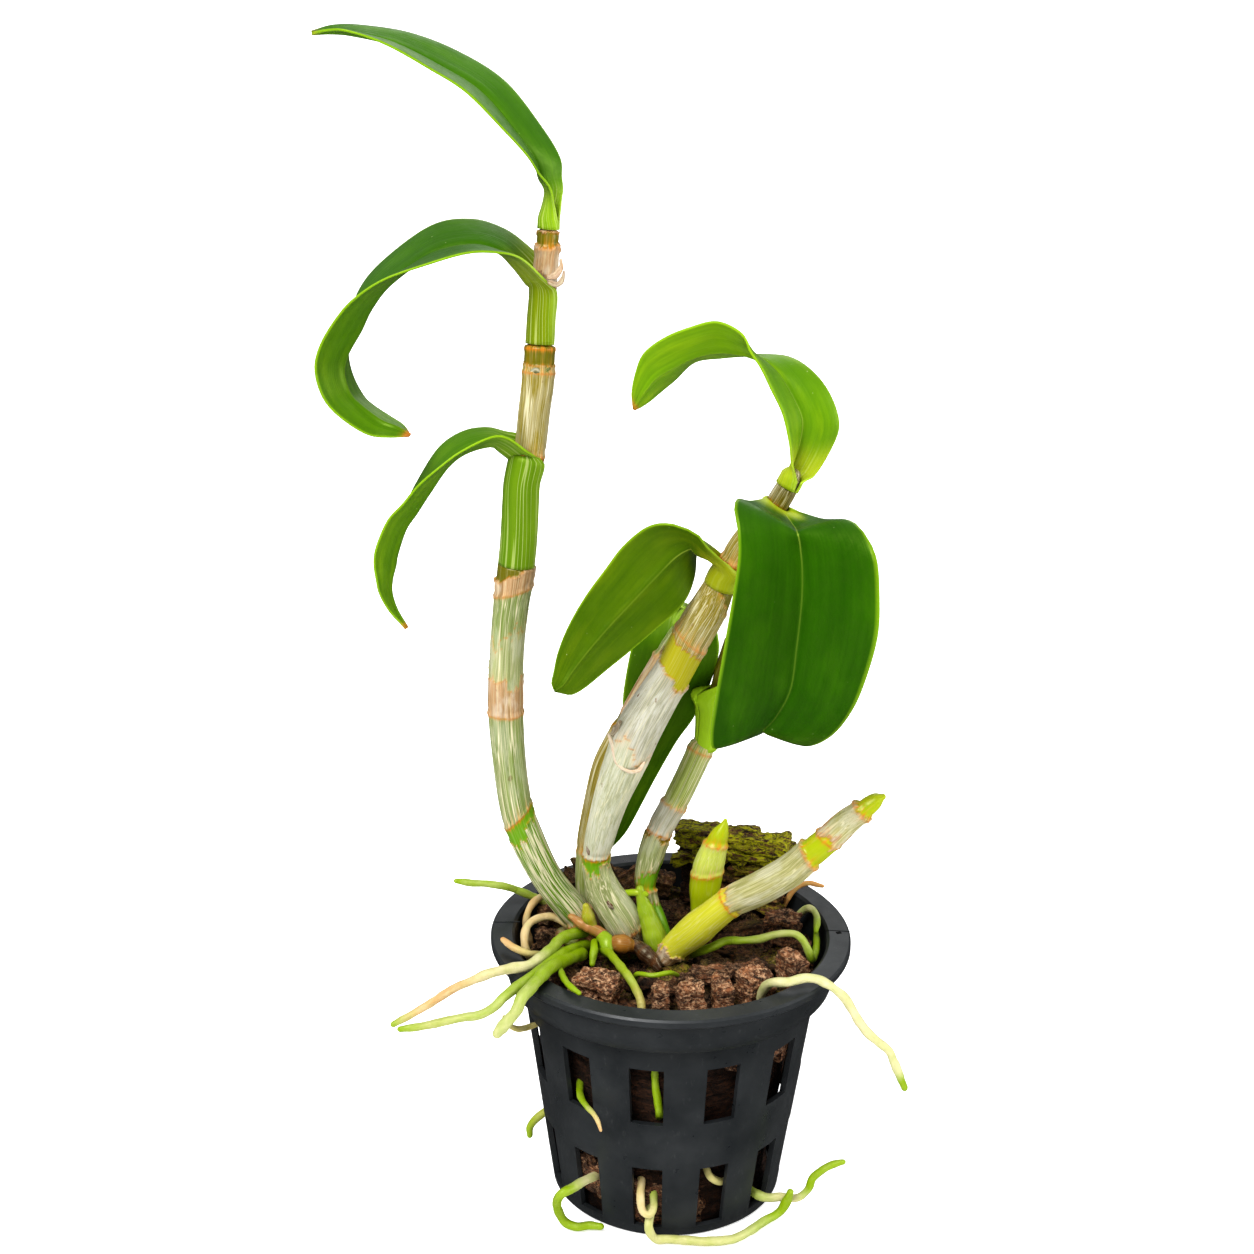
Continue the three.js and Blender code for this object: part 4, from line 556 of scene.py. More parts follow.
class Station:
    """One place on a path: its centre, radius, run from the foot, and directions."""

    def __init__(self, centre, radius, run):
        self.centre = centre
        self.radius = radius
        self.run = run
        self.along = None
        self.front = None
        self.right = None


class Path:
    """A smooth line read at even steps. Its front faces -Y, or is carried along without twist."""

    def __init__(self, rows, step, faces_front):
        fine = [smooth_rows(rows, i / 600) for i in range(601)]
        runs = [0.0]
        for a, b in zip(fine, fine[1:]):
            runs.append(runs[-1] + math.dist(a[:3], b[:3]))
        self.length = runs[-1]
        count = max(8, round(self.length / step))
        self.stations = []
        k = 0
        for i in range(count + 1):
            run = self.length * i / count
            while k < 599 and runs[k + 1] < run:
                k += 1
            u = (run - runs[k]) / max(1e-9, runs[k + 1] - runs[k])
            spot = blend(fine[k], fine[k + 1], u)
            self.stations.append(Station(Vector(spot[:3]), spot[3], run))
        front = Vector((0.0, -1.0, 0.0))
        for i, here in enumerate(self.stations):
            ahead = self.stations[min(i + 1, count)].centre
            behind = self.stations[max(i - 1, 0)].centre
            here.along = (ahead - behind).normalized()
            if faces_front:
                front = Vector((0.0, -1.0, 0.0))
            front = (front - here.along * front.dot(here.along)).normalized()
            here.front = front
            here.right = here.along.cross(front)

    def at_height(self, height):
        """The first station at or above a height."""
        for here in self.stations:
            if here.centre.z >= height:
                return here
        return self.stations[-1]


def grid_of(bm, columns, rows):
    """New grid points, each with its column and row."""
    made = bmesh.ops.create_grid(bm, x_segments=columns, y_segments=rows, size=0.5)
    return [(v, round((v.co.x + 0.5) * columns), round((v.co.y + 0.5) * rows)) for v in made["verts"]]


def tube(bm, path, around, skin):
    """A closed tube along a path. skin places each point and sets its marks."""
    rounds = 5
    first = path.stations[0]
    last = path.stations[-1]
    rows = []
    for k in range(rounds):
        angle = 0.5 * math.pi * k / rounds
        rows.append((first, -first.radius * math.cos(angle), math.sin(angle)))
    rows += [(here, 0.0, 1.0) for here in path.stations]
    for k in reversed(range(rounds)):
        angle = 0.5 * math.pi * k / rounds
        rows.append((last, last.radius * math.cos(angle), math.sin(angle)))
    points = grid_of(bm, around, len(rows) - 1)
    for v, column, row in points:
        here, shift, draw = rows[row]
        angle = 2 * math.pi * (column % around) / around
        radius = skin(v, here, here.run + shift, angle) * draw
        spoke = here.front * math.cos(angle) + here.right * math.sin(angle)
        v.co = here.centre + here.along * shift + spoke * radius
    made = [v for v, _, _ in points]
    bmesh.ops.remove_doubles(bm, verts=made, dist=1e-4)


def number_marks(bm, *names):
    """New marks on the points, each a number."""
    return [bm.verts.layers.float.new(name) for name in names]


def close_piece(bm, name, materials, nodes, recalculate=True):
    """The finished mesh as an object in metres that rides on the part and stands for its nodes."""
    if recalculate:
        bmesh.ops.recalc_face_normals(bm, faces=bm.faces)
    bmesh.ops.scale(bm, vec=(MM, MM, MM), verts=bm.verts)
    for face in bm.faces:
        face.smooth = True
    mesh = bpy.data.meshes.new(name)
    bm.to_mesh(mesh)
    bm.free()
    piece = bpy.data.objects.new(name, mesh)
    bpy.context.scene.collection.objects.link(piece)
    for material in materials:
        mesh.materials.append(material)
    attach(piece, "root")
    if nodes:
        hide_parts(*nodes)
    return piece


class Finish:
    """A material under construction, whose nodes feed one another."""

    def __init__(self, name, **shader):
        self.material = bpy.data.materials.get(name) or bpy.data.materials.new(name)
        self.material.use_nodes = True
        self.tree = self.material.node_tree
        self.tree.nodes.clear()
        self.shader = self.tree.nodes.new("ShaderNodeBsdfPrincipled")
        output = self.tree.nodes.new("ShaderNodeOutputMaterial")
        self.tree.links.new(self.shader.outputs[0], output.inputs[0])
        for socket, value in shader.items():
            self.shader.inputs[socket.replace("_", " ").title().replace("Ior", "IOR")].default_value = value

    def add(self, kind, inputs=None, **settings):
        """A new node with its settings and what feeds it."""
        node = self.tree.nodes.new("ShaderNode" + kind)
        for key, value in settings.items():
            setattr(node, key, value)
        for key, value in (inputs or {}).items():
            self.feed(value, node.inputs[key])
        return node

    def feed(self, source, socket):
        """A link from another node, or a plain value."""
        if isinstance(source, bpy.types.NodeSocket):
            self.tree.links.new(source, socket)
        elif isinstance(source, tuple) and len(source) == 3 and socket.type == "RGBA":
            socket.default_value = (*source, 1.0)
        else:
            socket.default_value = source

    def mark(self, name, part="Fac"):
        """One of the marks that a piece's points carry."""
        return self.add("Attribute", attribute_name=name).outputs[part]

    def place(self):
        """The point on the object, in metres."""
        return self.add("TexCoord").outputs["Object"]

    def stretch(self, vector, x, y, z):
        """A vector with each part scaled."""
        return self.add("Mapping", {"Vector": vector, "Scale": (x, y, z)}).outputs[0]

    def calc(self, operation, first, second=0.0, clamp=False):
        """A sum on two numbers."""
        return self.add("Math", {0: first, 1: second}, operation=operation, use_clamp=clamp).outputs[0]

    def times(self, first, second, clamp=False):
        """The product of two numbers."""
        return self.calc("MULTIPLY", first, second, clamp)

    def span(self, value, low, high, to_low=0.0, to_high=1.0, smooth=False):
        """A value's range moved to another range, and held there."""
        kind = "SMOOTHSTEP" if smooth else "LINEAR"
        inputs = {"Value": value, "From Min": low, "From Max": high, "To Min": to_low, "To Max": to_high}
        return self.add("MapRange", inputs, interpolation_type=kind).outputs[0]

    def cloud(self, vector, scale, detail=2.0, roughness=0.5, twist=0.0):
        """Soft noise from 0 to 1."""
        inputs = {"Vector": vector, "Scale": scale, "Detail": detail, "Roughness": roughness,
                  "Distortion": twist}
        return self.add("TexNoise", inputs).outputs[0]

    def cells(self, vector, scale, feature="DISTANCE_TO_EDGE"):
        """The distance to the nearest cell border, or the nearest cell's middle."""
        node = self.add("TexVoronoi", {"Vector": vector, "Scale": scale}, feature=feature)
        return node.outputs["Distance"]

    def mix(self, amount, first, second, kind="MIX"):
        """Two colours mixed."""
        node = self.add("Mix", data_type="RGBA", blend_type=kind)
        self.feed(amount, node.inputs[0])
        self.feed(first, node.inputs[6])
        self.feed(second, node.inputs[7])
        return node.outputs[2]

    def relief(self, height, depth, strength=1.0, under=None):
        """A bump of a depth in metres over another bump."""
        inputs = {"Height": height, "Distance": depth, "Strength": strength}
        if under is not None:
            inputs["Normal"] = under
        return self.add("Bump", inputs).outputs[0]

    def give(self, **sockets):
        """What feeds the shader."""
        for name, source in sockets.items():
            self.feed(source, self.shader.inputs[name.replace("_", " ").title()])
        return self.material


class OrchidPotLook(bpy.types.PropertyGroup):
    """Sizes and colour of the net pot."""

    height: FloatProperty(name="Height", description="Height of the pot", default=0.070, unit="LENGTH",
                          precision=4)
    foot_radius: FloatProperty(
        name="Foot Radius", description="Radius of the wall at the ground", default=0.0292, unit="LENGTH",
        precision=4)
    rim_radius: FloatProperty(
        name="Rim Radius", description="Radius of the flange", default=0.045, unit="LENGTH", precision=4)
    mouth_radius: FloatProperty(
        name="Mouth Radius", description="Radius of the mouth", default=0.039, unit="LENGTH", precision=4)
    wall: FloatProperty(
        name="Wall", description="Thickness of the wall", default=0.0014, unit="LENGTH", precision=4)
    plastic: FloatVectorProperty(
        name="Plastic", description="Colour of the plastic", default=tint(0x212426), subtype="COLOR",
        size=3)


class OrchidLeafLook(bpy.types.PropertyGroup):
    """Thickness and colours of the leaves."""

    thickness: FloatProperty(
        name="Thickness", description="Thickness of a blade", default=0.0007, unit="LENGTH", precision=5)
    green: FloatVectorProperty(
        name="Blade Tint", description="Multiplies the green of every blade", default=(1, 1, 1),
        subtype="COLOR", size=3)
    margin: FloatVectorProperty(
        name="Margin", description="Margins, midrib and leaf foot", default=tint(0x93b820),
        subtype="COLOR", size=3)


class OrchidCaneLook(bpy.types.PropertyGroup):
    """Colours of the canes."""

    vein: FloatVectorProperty(
        name="Vein", description="The pale lengthwise veins", default=tint(0xccc5a4), subtype="COLOR",
        size=3)
    torn: FloatVectorProperty(
        name="Torn Edge", description="Torn sheath edges and leaf scars", default=tint(0xa9651a),
        subtype="COLOR", size=3)


class OrchidRootLook(bpy.types.PropertyGroup):
    """Colours of the aerial roots."""

    fresh: FloatVectorProperty(
        name="Fresh", description="Green growing root", default=tint(0x7c9604), subtype="COLOR", size=3)
    pale: FloatVectorProperty(
        name="Pale", description="Silvery cream root skin", default=tint(0xc4bd94), subtype="COLOR", size=3)
    dry: FloatVectorProperty(
        name="Dry", description="Dry tan root skin", default=tint(0xb98450), subtype="COLOR", size=3)


class OrchidBarkLook(bpy.types.PropertyGroup):
    """Number of chips and colours of the bark."""

    chips: IntProperty(name="Chips", description="Chips in the bed of bark", default=320, min=20, max=400)
    dark: FloatVectorProperty(
        name="Dark Bark", description="Wet dark bark", default=tint(0x2c1a10), subtype="COLOR", size=3)
    red: FloatVectorProperty(
        name="Red Bark", description="Reddish brown bark", default=tint(0xab7048), subtype="COLOR", size=3)
    moss: FloatVectorProperty(
        name="Moss", description="Moss on the tall slab", default=tint(0xbcb80e), subtype="COLOR", size=3)


class OrchidStageLook(bpy.types.PropertyGroup):
    """Light and floor."""

    floor: FloatVectorProperty(name="Floor", description="Colour of the floor",
                               default=(0.95, 0.95, 0.95), subtype="COLOR", size=3)
    sky: FloatProperty(name="Sky", description="Strength of the even light", default=0.5)
    sun: FloatProperty(name="Overhead Light", description="Strength of the broad light from above",
                       default=2.4)
    key: FloatProperty(name="Key Light", description="Power of the key light", default=4.2, unit="POWER")


LOOKS = {
    "orchid_pot": OrchidPotLook,
    "orchid_leaf": OrchidLeafLook,
    "orchid_cane": OrchidCaneLook,
    "orchid_root": OrchidRootLook,
    "orchid_bark": OrchidBarkLook,
    "orchid_stage": OrchidStageLook,
}


def colour(look, name):
    """A colour that the user can change, as a plain tuple."""
    return tuple(getattr(getattr(bpy.context.scene, look), name))


def plastic_finish():
    """Charcoal satin plastic with fine moulding marks and light scuffs."""
    finish = Finish("charcoal_plastic", roughness=0.32, specular_ior_level=0.22)
    ground = colour("orchid_pot", "plastic")
    place = finish.place()
    drift = finish.cloud(place, 60.0, 4.0, 0.6)
    scuff = finish.cloud(finish.stretch(place, 900.0, 900.0, 260.0), 1.0, 3.0, 0.65)
    worn = finish.span(scuff, 0.62, 0.8)
    shade = finish.mix(finish.span(drift, 0.3, 0.7), blend(ground, (0, 0, 0), 0.18),
                       blend(ground, (1, 1, 1), 0.012))
    dust = finish.mix(finish.times(worn, 0.12), shade, blend(ground, (0.5, 0.5, 0.48), 0.35))
    grain = finish.cloud(place, 2600.0, 2.0, 0.5)
    bump = finish.relief(grain, 0.00003, 0.35)
    bump = finish.relief(drift, 0.0004, 0.25, bump)
    return finish.give(
        base_color=dust,
        roughness=finish.span(finish.cloud(place, 240.0, 3.0, 0.6), 0.3, 0.75, 0.27, 0.45),
        normal=bump,
    )


def cane_finish():
    """Papery sheaths over green flesh: pale lengthwise veins, streaks, specks and torn edges."""
    finish = Finish("cane_skin", roughness=0.5, specular_ior_level=0.32,
                    specular_tint=(1.0, 0.96, 0.7, 1.0))
    vein = colour("orchid_cane", "vein")
    torn = colour("orchid_cane", "torn")
    ground = finish.mark("ground", "Color")
    veins = finish.mark("veins")
    paper = finish.mark("paper")
    rim = finish.mark("rim")
    grain = finish.mark("grain", "Vector")
    drip = finish.mark("drip")

    def fibres(x, z, width, shift):
        """Thin lines that run where soft noise crosses its middle."""
        moved = finish.add("Mapping", {"Vector": grain, "Location": (shift, 0, 0),
                                       "Scale": (x, x, z)}).outputs[0]
        away = finish.calc("ABSOLUTE", finish.calc("SUBTRACT", finish.cloud(moved, 1.0, 1.0, 0.4), 0.5))
        return finish.span(away, 0.25 * width, width, 1.0, 0.0)

    coarse = fibres(0.95, 0.012, 0.026, 0.0)
    fine = fibres(2.3, 0.02, 0.05, 7.0)
    net = finish.times(fibres(1.5, 0.045, 0.055, 3.0), finish.span(veins, 1.05, 1.6))
    hairline = fibres(3.0, 0.016, 0.045, 11.0)
    stria = finish.cloud(finish.stretch(grain, 4.2, 4.2, 0.03), 1.0, 2.0, 0.6)
    streak = finish.cloud(finish.stretch(grain, 1.3, 1.3, 0.03), 1.0, 2.0, 0.6)
    patch = finish.cloud(finish.stretch(grain, 0.35, 0.35, 0.09), 1.0, 3.0, 0.6)
    dark = finish.mix(1.0, ground, (0.50, 0.52, 0.36), "MULTIPLY")
    film = finish.mix(0.55, ground, tint(0xb9b7ab))
    woody = finish.calc("ADD", finish.times(finish.calc("ADD", paper, veins), 0.42), 0.04, clamp=True)
    shadow = finish.times(finish.span(streak, 0.36, 0.6, 1.0, 0.0, smooth=True), woody)
    base = finish.mix(shadow, ground, dark)
    base = finish.mix(finish.times(finish.span(stria, 0.40, 0.58, 0.3, 0.0), paper), base, dark)
    covered = finish.times(finish.span(patch, 0.46, 0.62, smooth=True), finish.times(paper, 0.85))
    base = finish.mix(covered, base, film)
    base = finish.mix(finish.times(hairline, finish.times(paper, 0.55)), base, dark)
    line = finish.calc("MAXIMUM", finish.calc("MAXIMUM", coarse, finish.times(fine, 0.45)), net)
    base = finish.mix(finish.times(finish.times(line, veins, clamp=True), 0.9), base, vein)
    runs = finish.calc("MAXIMUM", coarse, finish.span(streak, 0.5, 0.62))
    runs = finish.times(drip, runs, clamp=True)
    base = finish.mix(runs, base, finish.mix(paper, tint(0xc07a1c), tint(0xc4a074)))
    fleck = finish.cloud(finish.stretch(grain, 0.4, 0.4, 0.25), 1.0, 2.0, 0.5)
    speck = finish.span(fleck, 0.72, 0.76, smooth=True)
    base = finish.mix(finish.times(speck, finish.times(paper, 0.75)), base, tint(0x5d3a1c))
    uneven = finish.span(finish.cloud(finish.stretch(grain, 0.9, 0.9, 0.4), 1.0, 3.0, 0.7), 0.25, 0.6,
                         0.15, 1.0)
    burnt = finish.mix(finish.times(paper, 0.75), torn, tint(0xaa7a44))
    base = finish.mix(finish.times(rim, uneven, clamp=True), base, burnt)
    height = finish.times(line, finish.times(veins, 0.6))
    height = finish.calc("ADD", height, finish.times(streak, woody))
    crinkle = finish.times(finish.cloud(finish.stretch(grain, 1.2, 1.2, 0.5), 1.6, 4.0, 0.65), paper)
    bump = finish.relief(height, 0.00018, 0.7)
    bump = finish.relief(crinkle, 0.0005, 0.55, bump)
    return finish.give(base_color=base, roughness=finish.span(paper, 0.0, 1.0, 0.28, 0.6), normal=bump)


def leaf_finish(name, under):
    """A waxy blade with fine parallel veins, pale midrib and margins, and a lime foot."""
    finish = Finish(name, specular_ior_level=0.4, specular_tint=(0.75, 1.0, 0.2, 1.0))
    margin = colour("orchid_leaf", "margin")
    span = finish.mark("span", "Vector")
    across = finish.add("SeparateXYZ", {"Vector": span}).outputs["X"]
    edge = finish.mark("edge")
    foot = finish.mark("foot")
    grain = finish.mark("grain", "Vector")
    side = finish.calc("ABSOLUTE", across)
    blade = finish.mix(1.0, finish.mark("blade", "Color"), colour("orchid_leaf", "green"), "MULTIPLY")
    if under:
        blade = finish.mix(0.10, blade, margin)
    deep = finish.mix(1.0, blade, (0.56, 0.68, 0.3), "MULTIPLY")
    bright = finish.mix(1.0, blade, (1.6, 1.3, 1.0), "MULTIPLY")
    lanes = finish.cloud(finish.stretch(span, 5.0, 0.02, 1.0), 1.0, 3.0, 0.55)
    hair = finish.cloud(finish.stretch(span, 30.0, 0.025, 1.0), 1.0, 2.0, 0.6)
    cloudy = finish.cloud(grain, 0.06, 4.0, 0.55)
    base = finish.mix(finish.span(lanes, 0.28, 0.72, 0.15, 0.7), deep, bright)
    base = finish.mix(finish.times(finish.span(hair, 0.45, 0.75), 0.16), base, bright)
    base = finish.mix(finish.span(cloudy, 0.42, 0.68, 0.0, 0.55), base, deep)
    glow = finish.span(finish.cloud(finish.stretch(span, 2.2, 0.05, 1.0), 1.0, 3.0, 0.5), 0.5, 0.72, 0.0,
                       0.5)
    base = finish.mix(glow, base, finish.mix(1.0, blade, (2.2, 1.5, 1.0), "MULTIPLY"))
    scuffs = finish.cells(finish.stretch(grain, 0.42, 0.42, 0.3), 1.0, "F1")
    scuffs = finish.times(finish.span(scuffs, 0.035, 0.06, 0.5, 0.0), finish.span(cloudy, 0.5, 0.6))
    base = finish.mix(scuffs, base, tint(0xc8cf9a))
    midrib = finish.span(side, 0.006, 0.022, 1.0, 0.0, smooth=True)
    base = finish.mix(finish.times(midrib, finish.mark("midrib")), base, tint(0xa9b84a))
    tone = finish.mark("ground", "Color")
    stripes = finish.cloud(finish.stretch(span, 6.0, 0.012, 1.0), 1.0, 2.0, 0.6)
    shaded = finish.mix(1.0, tone, (0.5, 0.66, 0.25), "MULTIPLY")
    striped = finish.mark("striped")
    sheath = finish.mix(finish.times(finish.span(stripes, 0.35, 0.62, 0.75, 0.0), striped), tone, shaded)
    lines = finish.cloud(finish.stretch(span, 7.0, 0.01, 1.0), 1.0, 1.0)
    lines = finish.span(finish.calc("ABSOLUTE", finish.calc("SUBTRACT", lines, 0.5)), 0.006, 0.026, 1.0,
                        0.0)
    sheath = finish.mix(finish.times(lines, finish.times(striped, 0.3)), sheath, tint(0xcfd390))
    base = finish.mix(finish.span(foot, 0.05, 0.95, smooth=True), base, sheath)
    base = finish.mix(finish.times(edge, 0.5), base, margin)
    base = finish.mix(finish.mark("tip"), base, tint(0xa8642a))
    height = finish.calc("ADD", finish.times(hair, 0.5), lanes)
    bump = finish.relief(height, 0.00022, 0.45)
    bump = finish.relief(finish.cloud(grain, 0.22, 3.0, 0.5), 0.0006, 0.3, bump)
    gloss = finish.span(finish.cloud(grain, 0.5, 3.0, 0.6), 0.3, 0.7, 0.3, 0.45)
    return finish.give(base_color=base, roughness=gloss, normal=bump)


def root_finish():
    """Spongy root skin, from fresh green to cream and dry tan, with fine rings and pits."""
    finish = Finish("root_skin", roughness=0.5, specular_ior_level=0.35, specular_tint=(1.0, 1.0, 0.7, 1.0))
    fresh = colour("orchid_root", "fresh")
    pale = colour("orchid_root", "pale")
    dry = colour("orchid_root", "dry")
    green = finish.mark("green")
    dried = finish.mark("dried")
    grain = finish.mark("grain", "Vector")
    mottle = finish.cloud(finish.stretch(grain, 0.9, 0.9, 0.35), 1.0, 3.0, 0.6)
    shift = finish.times(finish.calc("SUBTRACT", mottle, 0.5), 0.7)
    shift = finish.times(shift, finish.span(green, 0.7, 1.0, 1.0, 0.25))
    amount = finish.calc("ADD", finish.times(green, 1.15), shift, clamp=True)
    base = finish.mix(amount, pale, fresh)
    base = finish.mix(finish.span(finish.cloud(grain, 0.4, 2.0), 0.4, 0.75, 0.0, 0.4), base,
                      blend(fresh, pale, 0.2))
    dried = finish.times(dried, finish.span(mottle, 0.3, 0.6, 0.55, 1.0))
    base = finish.mix(dried, base, dry)
    pits = finish.cloud(finish.stretch(grain, 1.6, 1.6, 1.2), 1.6, 3.0, 0.7)
    base = finish.mix(finish.span(pits, 0.62, 0.8, 0.0, 0.35), base, blend(dry, (0.1, 0.06, 0.02), 0.5))
    bump = finish.relief(pits, 0.0003, 0.5)
    bump = finish.relief(finish.cloud(finish.stretch(grain, 0.3, 0.3, 1.5), 1.0, 2.0), 0.0003, 0.45, bump)
    return finish.give(base_color=base, roughness=finish.span(dried, 0.0, 1.0, 0.4, 0.7), normal=bump)


def bark_finish():
    """Fir bark: laminated, red to nearly black, with tan speckles that are partly painted highlight,
    painted shade in its hollows, near-black painted shade in its crack lines, and moss where it grows.
    """
    finish = Finish("fir_bark", roughness=0.8, specular_ior_level=0.3)
    dark = colour("orchid_bark", "dark")
    red = colour("orchid_bark", "red")
    moss = colour("orchid_bark", "moss")
    shade = finish.mark("shade")
    flecks = finish.mark("flecks")
    mossy = finish.mark("mossy")
    grain = finish.mark("grain", "Vector")
    plates = finish.cloud(finish.stretch(grain, 0.16, 0.16, 0.75), 1.0, 5.0, 0.65, 0.6)
    rough = finish.cloud(grain, 0.7, 5.0, 0.7)
    base = finish.mix(finish.span(plates, 0.34, 0.66), dark, red)
    base = finish.mix(finish.span(shade, 0.0, 1.0, 0.8, 0.0), base, blend(dark, (0, 0, 0), 0.4))
    # Painted shade: darker where the rough bump sinks, less so on the paler pieces.
    painted_hollow_shade = finish.times(finish.span(rough, 0.36, 0.56, 0.7, 0.0), finish.span(flecks, 0.4, 1.0, 1.0, 0.3))
    base = finish.mix(painted_hollow_shade, base, blend(dark, (0, 0, 0), 0.6))
    # Pale tan speckles, partly the bark's own pale layers and partly a painted highlight; the front blocks
    # carry the most.
    pale = finish.span(finish.cloud(finish.stretch(grain, 0.9, 0.9, 1.5), 1.0, 5.0, 0.75), 0.47, 0.62)
    base = finish.mix(finish.times(pale, flecks), base, tint(0xe0b48c))
    growth = finish.cloud(finish.stretch(grain, 0.22, 0.6, 0.85), 1.0, 5.0, 0.7, 0.8)
    cover = finish.times(finish.span(growth, 0.40, 0.56, smooth=True), mossy)
    green = finish.mix(finish.span(rough, 0.35, 0.65), blend(moss, (0.03, 0.04, 0), 0.35), moss)
    base = finish.mix(cover, base, green)
    # Thin crack lines, sunk in the bump and painted near-black: a painted shade inside them.
    shaded_cracks = finish.cloud(finish.stretch(grain, 0.34, 0.34, 0.75), 1.0, 4.0, 0.6, 1.0)
    shaded_cracks = finish.span(finish.calc("ABSOLUTE", finish.calc("SUBTRACT", shaded_cracks, 0.5)), 0.0, 0.03, 0.9, 0.0)
    base = finish.mix(shaded_cracks, base, tint(0x120b07))
    raised = finish.calc("ADD", plates, finish.times(rough, 0.6))
    height = finish.calc("SUBTRACT", raised, finish.times(shaded_cracks, 0.5))
    bump = finish.relief(height, 0.0024, 0.9)
    bump = finish.relief(finish.cloud(grain, 2.6, 4.0, 0.7), 0.0005, 0.6, bump)
    return finish.give(base_color=base, roughness=finish.span(rough, 0.3, 0.7, 0.62, 0.9), normal=bump)


def wall_radius(z):
    """The pot wall's outer radius at a height, in millimetres."""
    return bpy.context.scene.orchid_pot.foot_radius / MM + WALL_SPREAD * z


def room(z):
    """How far bark may reach from the middle at a height, just inside the wall."""
    return wall_radius(z) - ROOM_IN_WALL


def cane_edges(cane, angle):
    """Where each band of a cane starts at an angle round it."""
    edges = []
    for i, (start, _, slant, tear) in enumerate(cane["bands"]):
        x = math.cos(angle)
        y = math.sin(angle)
        ragged = ripple(1.6 * x, 1.6 * y, 7.3 * i) + 0.55 * ripple(5 * x, 5 * y, 3.1 * i + 9)
        ragged += 0.45 * abs(ripple(12 * x, 12 * y, 5.7 * i)) * 2
        edges.append(start + 0.5 * slant * y + tear * 1.5 * ragged)
    return edges


def build_cane(name, around, step, materials):
    """One cane with its bands of sheath, torn edges and leaf scars."""
    cane = CANES[name]
    path = Path(cane["line"], step, True)
    bm = bmesh.new()
    ground = bm.verts.layers.float_color.new("ground")
    grain = bm.verts.layers.float_vector.new("grain")
    veins, paper, rim, drip = number_marks(bm, "veins", "paper", "rim", "drip")
    edges_at = [cane_edges(cane, 2 * math.pi * k / around) for k in range(around)]

    def skin(v, here, run, angle):
        x = math.cos(angle)
        y = math.sin(angle)
        edges = edges_at[round(angle / (2 * math.pi) * around) % around]
        i = max(k for k, edge in enumerate(edges) if edge <= run or k == 0)
        shade, vein, dry, stand = CANE_FINISHES[cane["bands"][i][1]]
        radius = here.radius
        gap = 9.0
        if i + 1 < len(edges):
            nearest = edges[i + 1] - run
            below = CANE_FINISHES[cane["bands"][i + 1][1]][3]
            if stand > below:
                radius += 1.9 * (stand - below) * math.exp(-nearest / 0.6)
            gap = min(gap, nearest)
        if i > 0:
            gap = min(gap, run - edges[i])
        radius += stand
        radius += 0.10 * ripple(2.1 * x, 2.1 * y, 0.05 * run) + 0.05 * dry * ripple(5 * x, 5 * y,
                                                                                    0.12 * run)
        scar = 0.0
        run_down = 0.0
        for place, slant in cane["rings"]:
            away = run - place - 0.5 * slant * y
            if abs(away) < 4:
                radius += 0.2 * math.exp(-(away / 0.8) ** 2) - 0.14 * math.exp(-((away - 1.2) / 0.7) ** 2)
                scar = max(scar, 0.9 * math.exp(-(away / 0.27) ** 2))
                run_down = max(run_down, math.exp(-abs(away) / (1.6 if away > 0 else 0.5)))
        for low, high, wrap in cane["wraps"]:
            if low + 0.4 < here.centre.z < high + 0.4:
                radius = min(radius, wrap - 0.85)
        v[ground] = (*shade, 1.0)
        v[grain] = (here.radius * x, here.radius * y, run)
        v[veins] = vein
        v[paper] = dry
        v[rim] = max(0.8 * math.exp(-(gap / 0.22) ** 2), scar)
        v[drip] = max(run_down, 0.7 * dry * math.exp(-gap / 1.2))
        return radius

    tube(bm, path, around, skin)
    for owner, first, second, flat, rows in FLAKES:
        if owner != name:
            continue

        def flake(v, here, run, angle, pair=(tint(first), tint(second)), flat=flat, size=rows[-1]):
            x = math.cos(angle)
            y = math.sin(angle)
            soft = 0.5 + 0.5 * ripple(2 * here.centre.x, 2 * y, 0.9 * run)
            v[ground] = (*blend(pair[0], pair[1], soft), 1.0)
            v[grain] = (here.radius * x + size[0], here.radius * y, run)
            v[veins] = 0.5
            v[paper] = 0.7
            v[rim] = 0.0
            v[drip] = 0.0
            thin = here.radius / math.hypot(x / flat, y)
            return thin * (1 + 0.3 * ripple(x, y + size[2], 0.8 * run))

        tube(bm, Path(rows, 0.3, True), 20, flake)
    return close_piece(bm, name + "_skin", materials, [name])


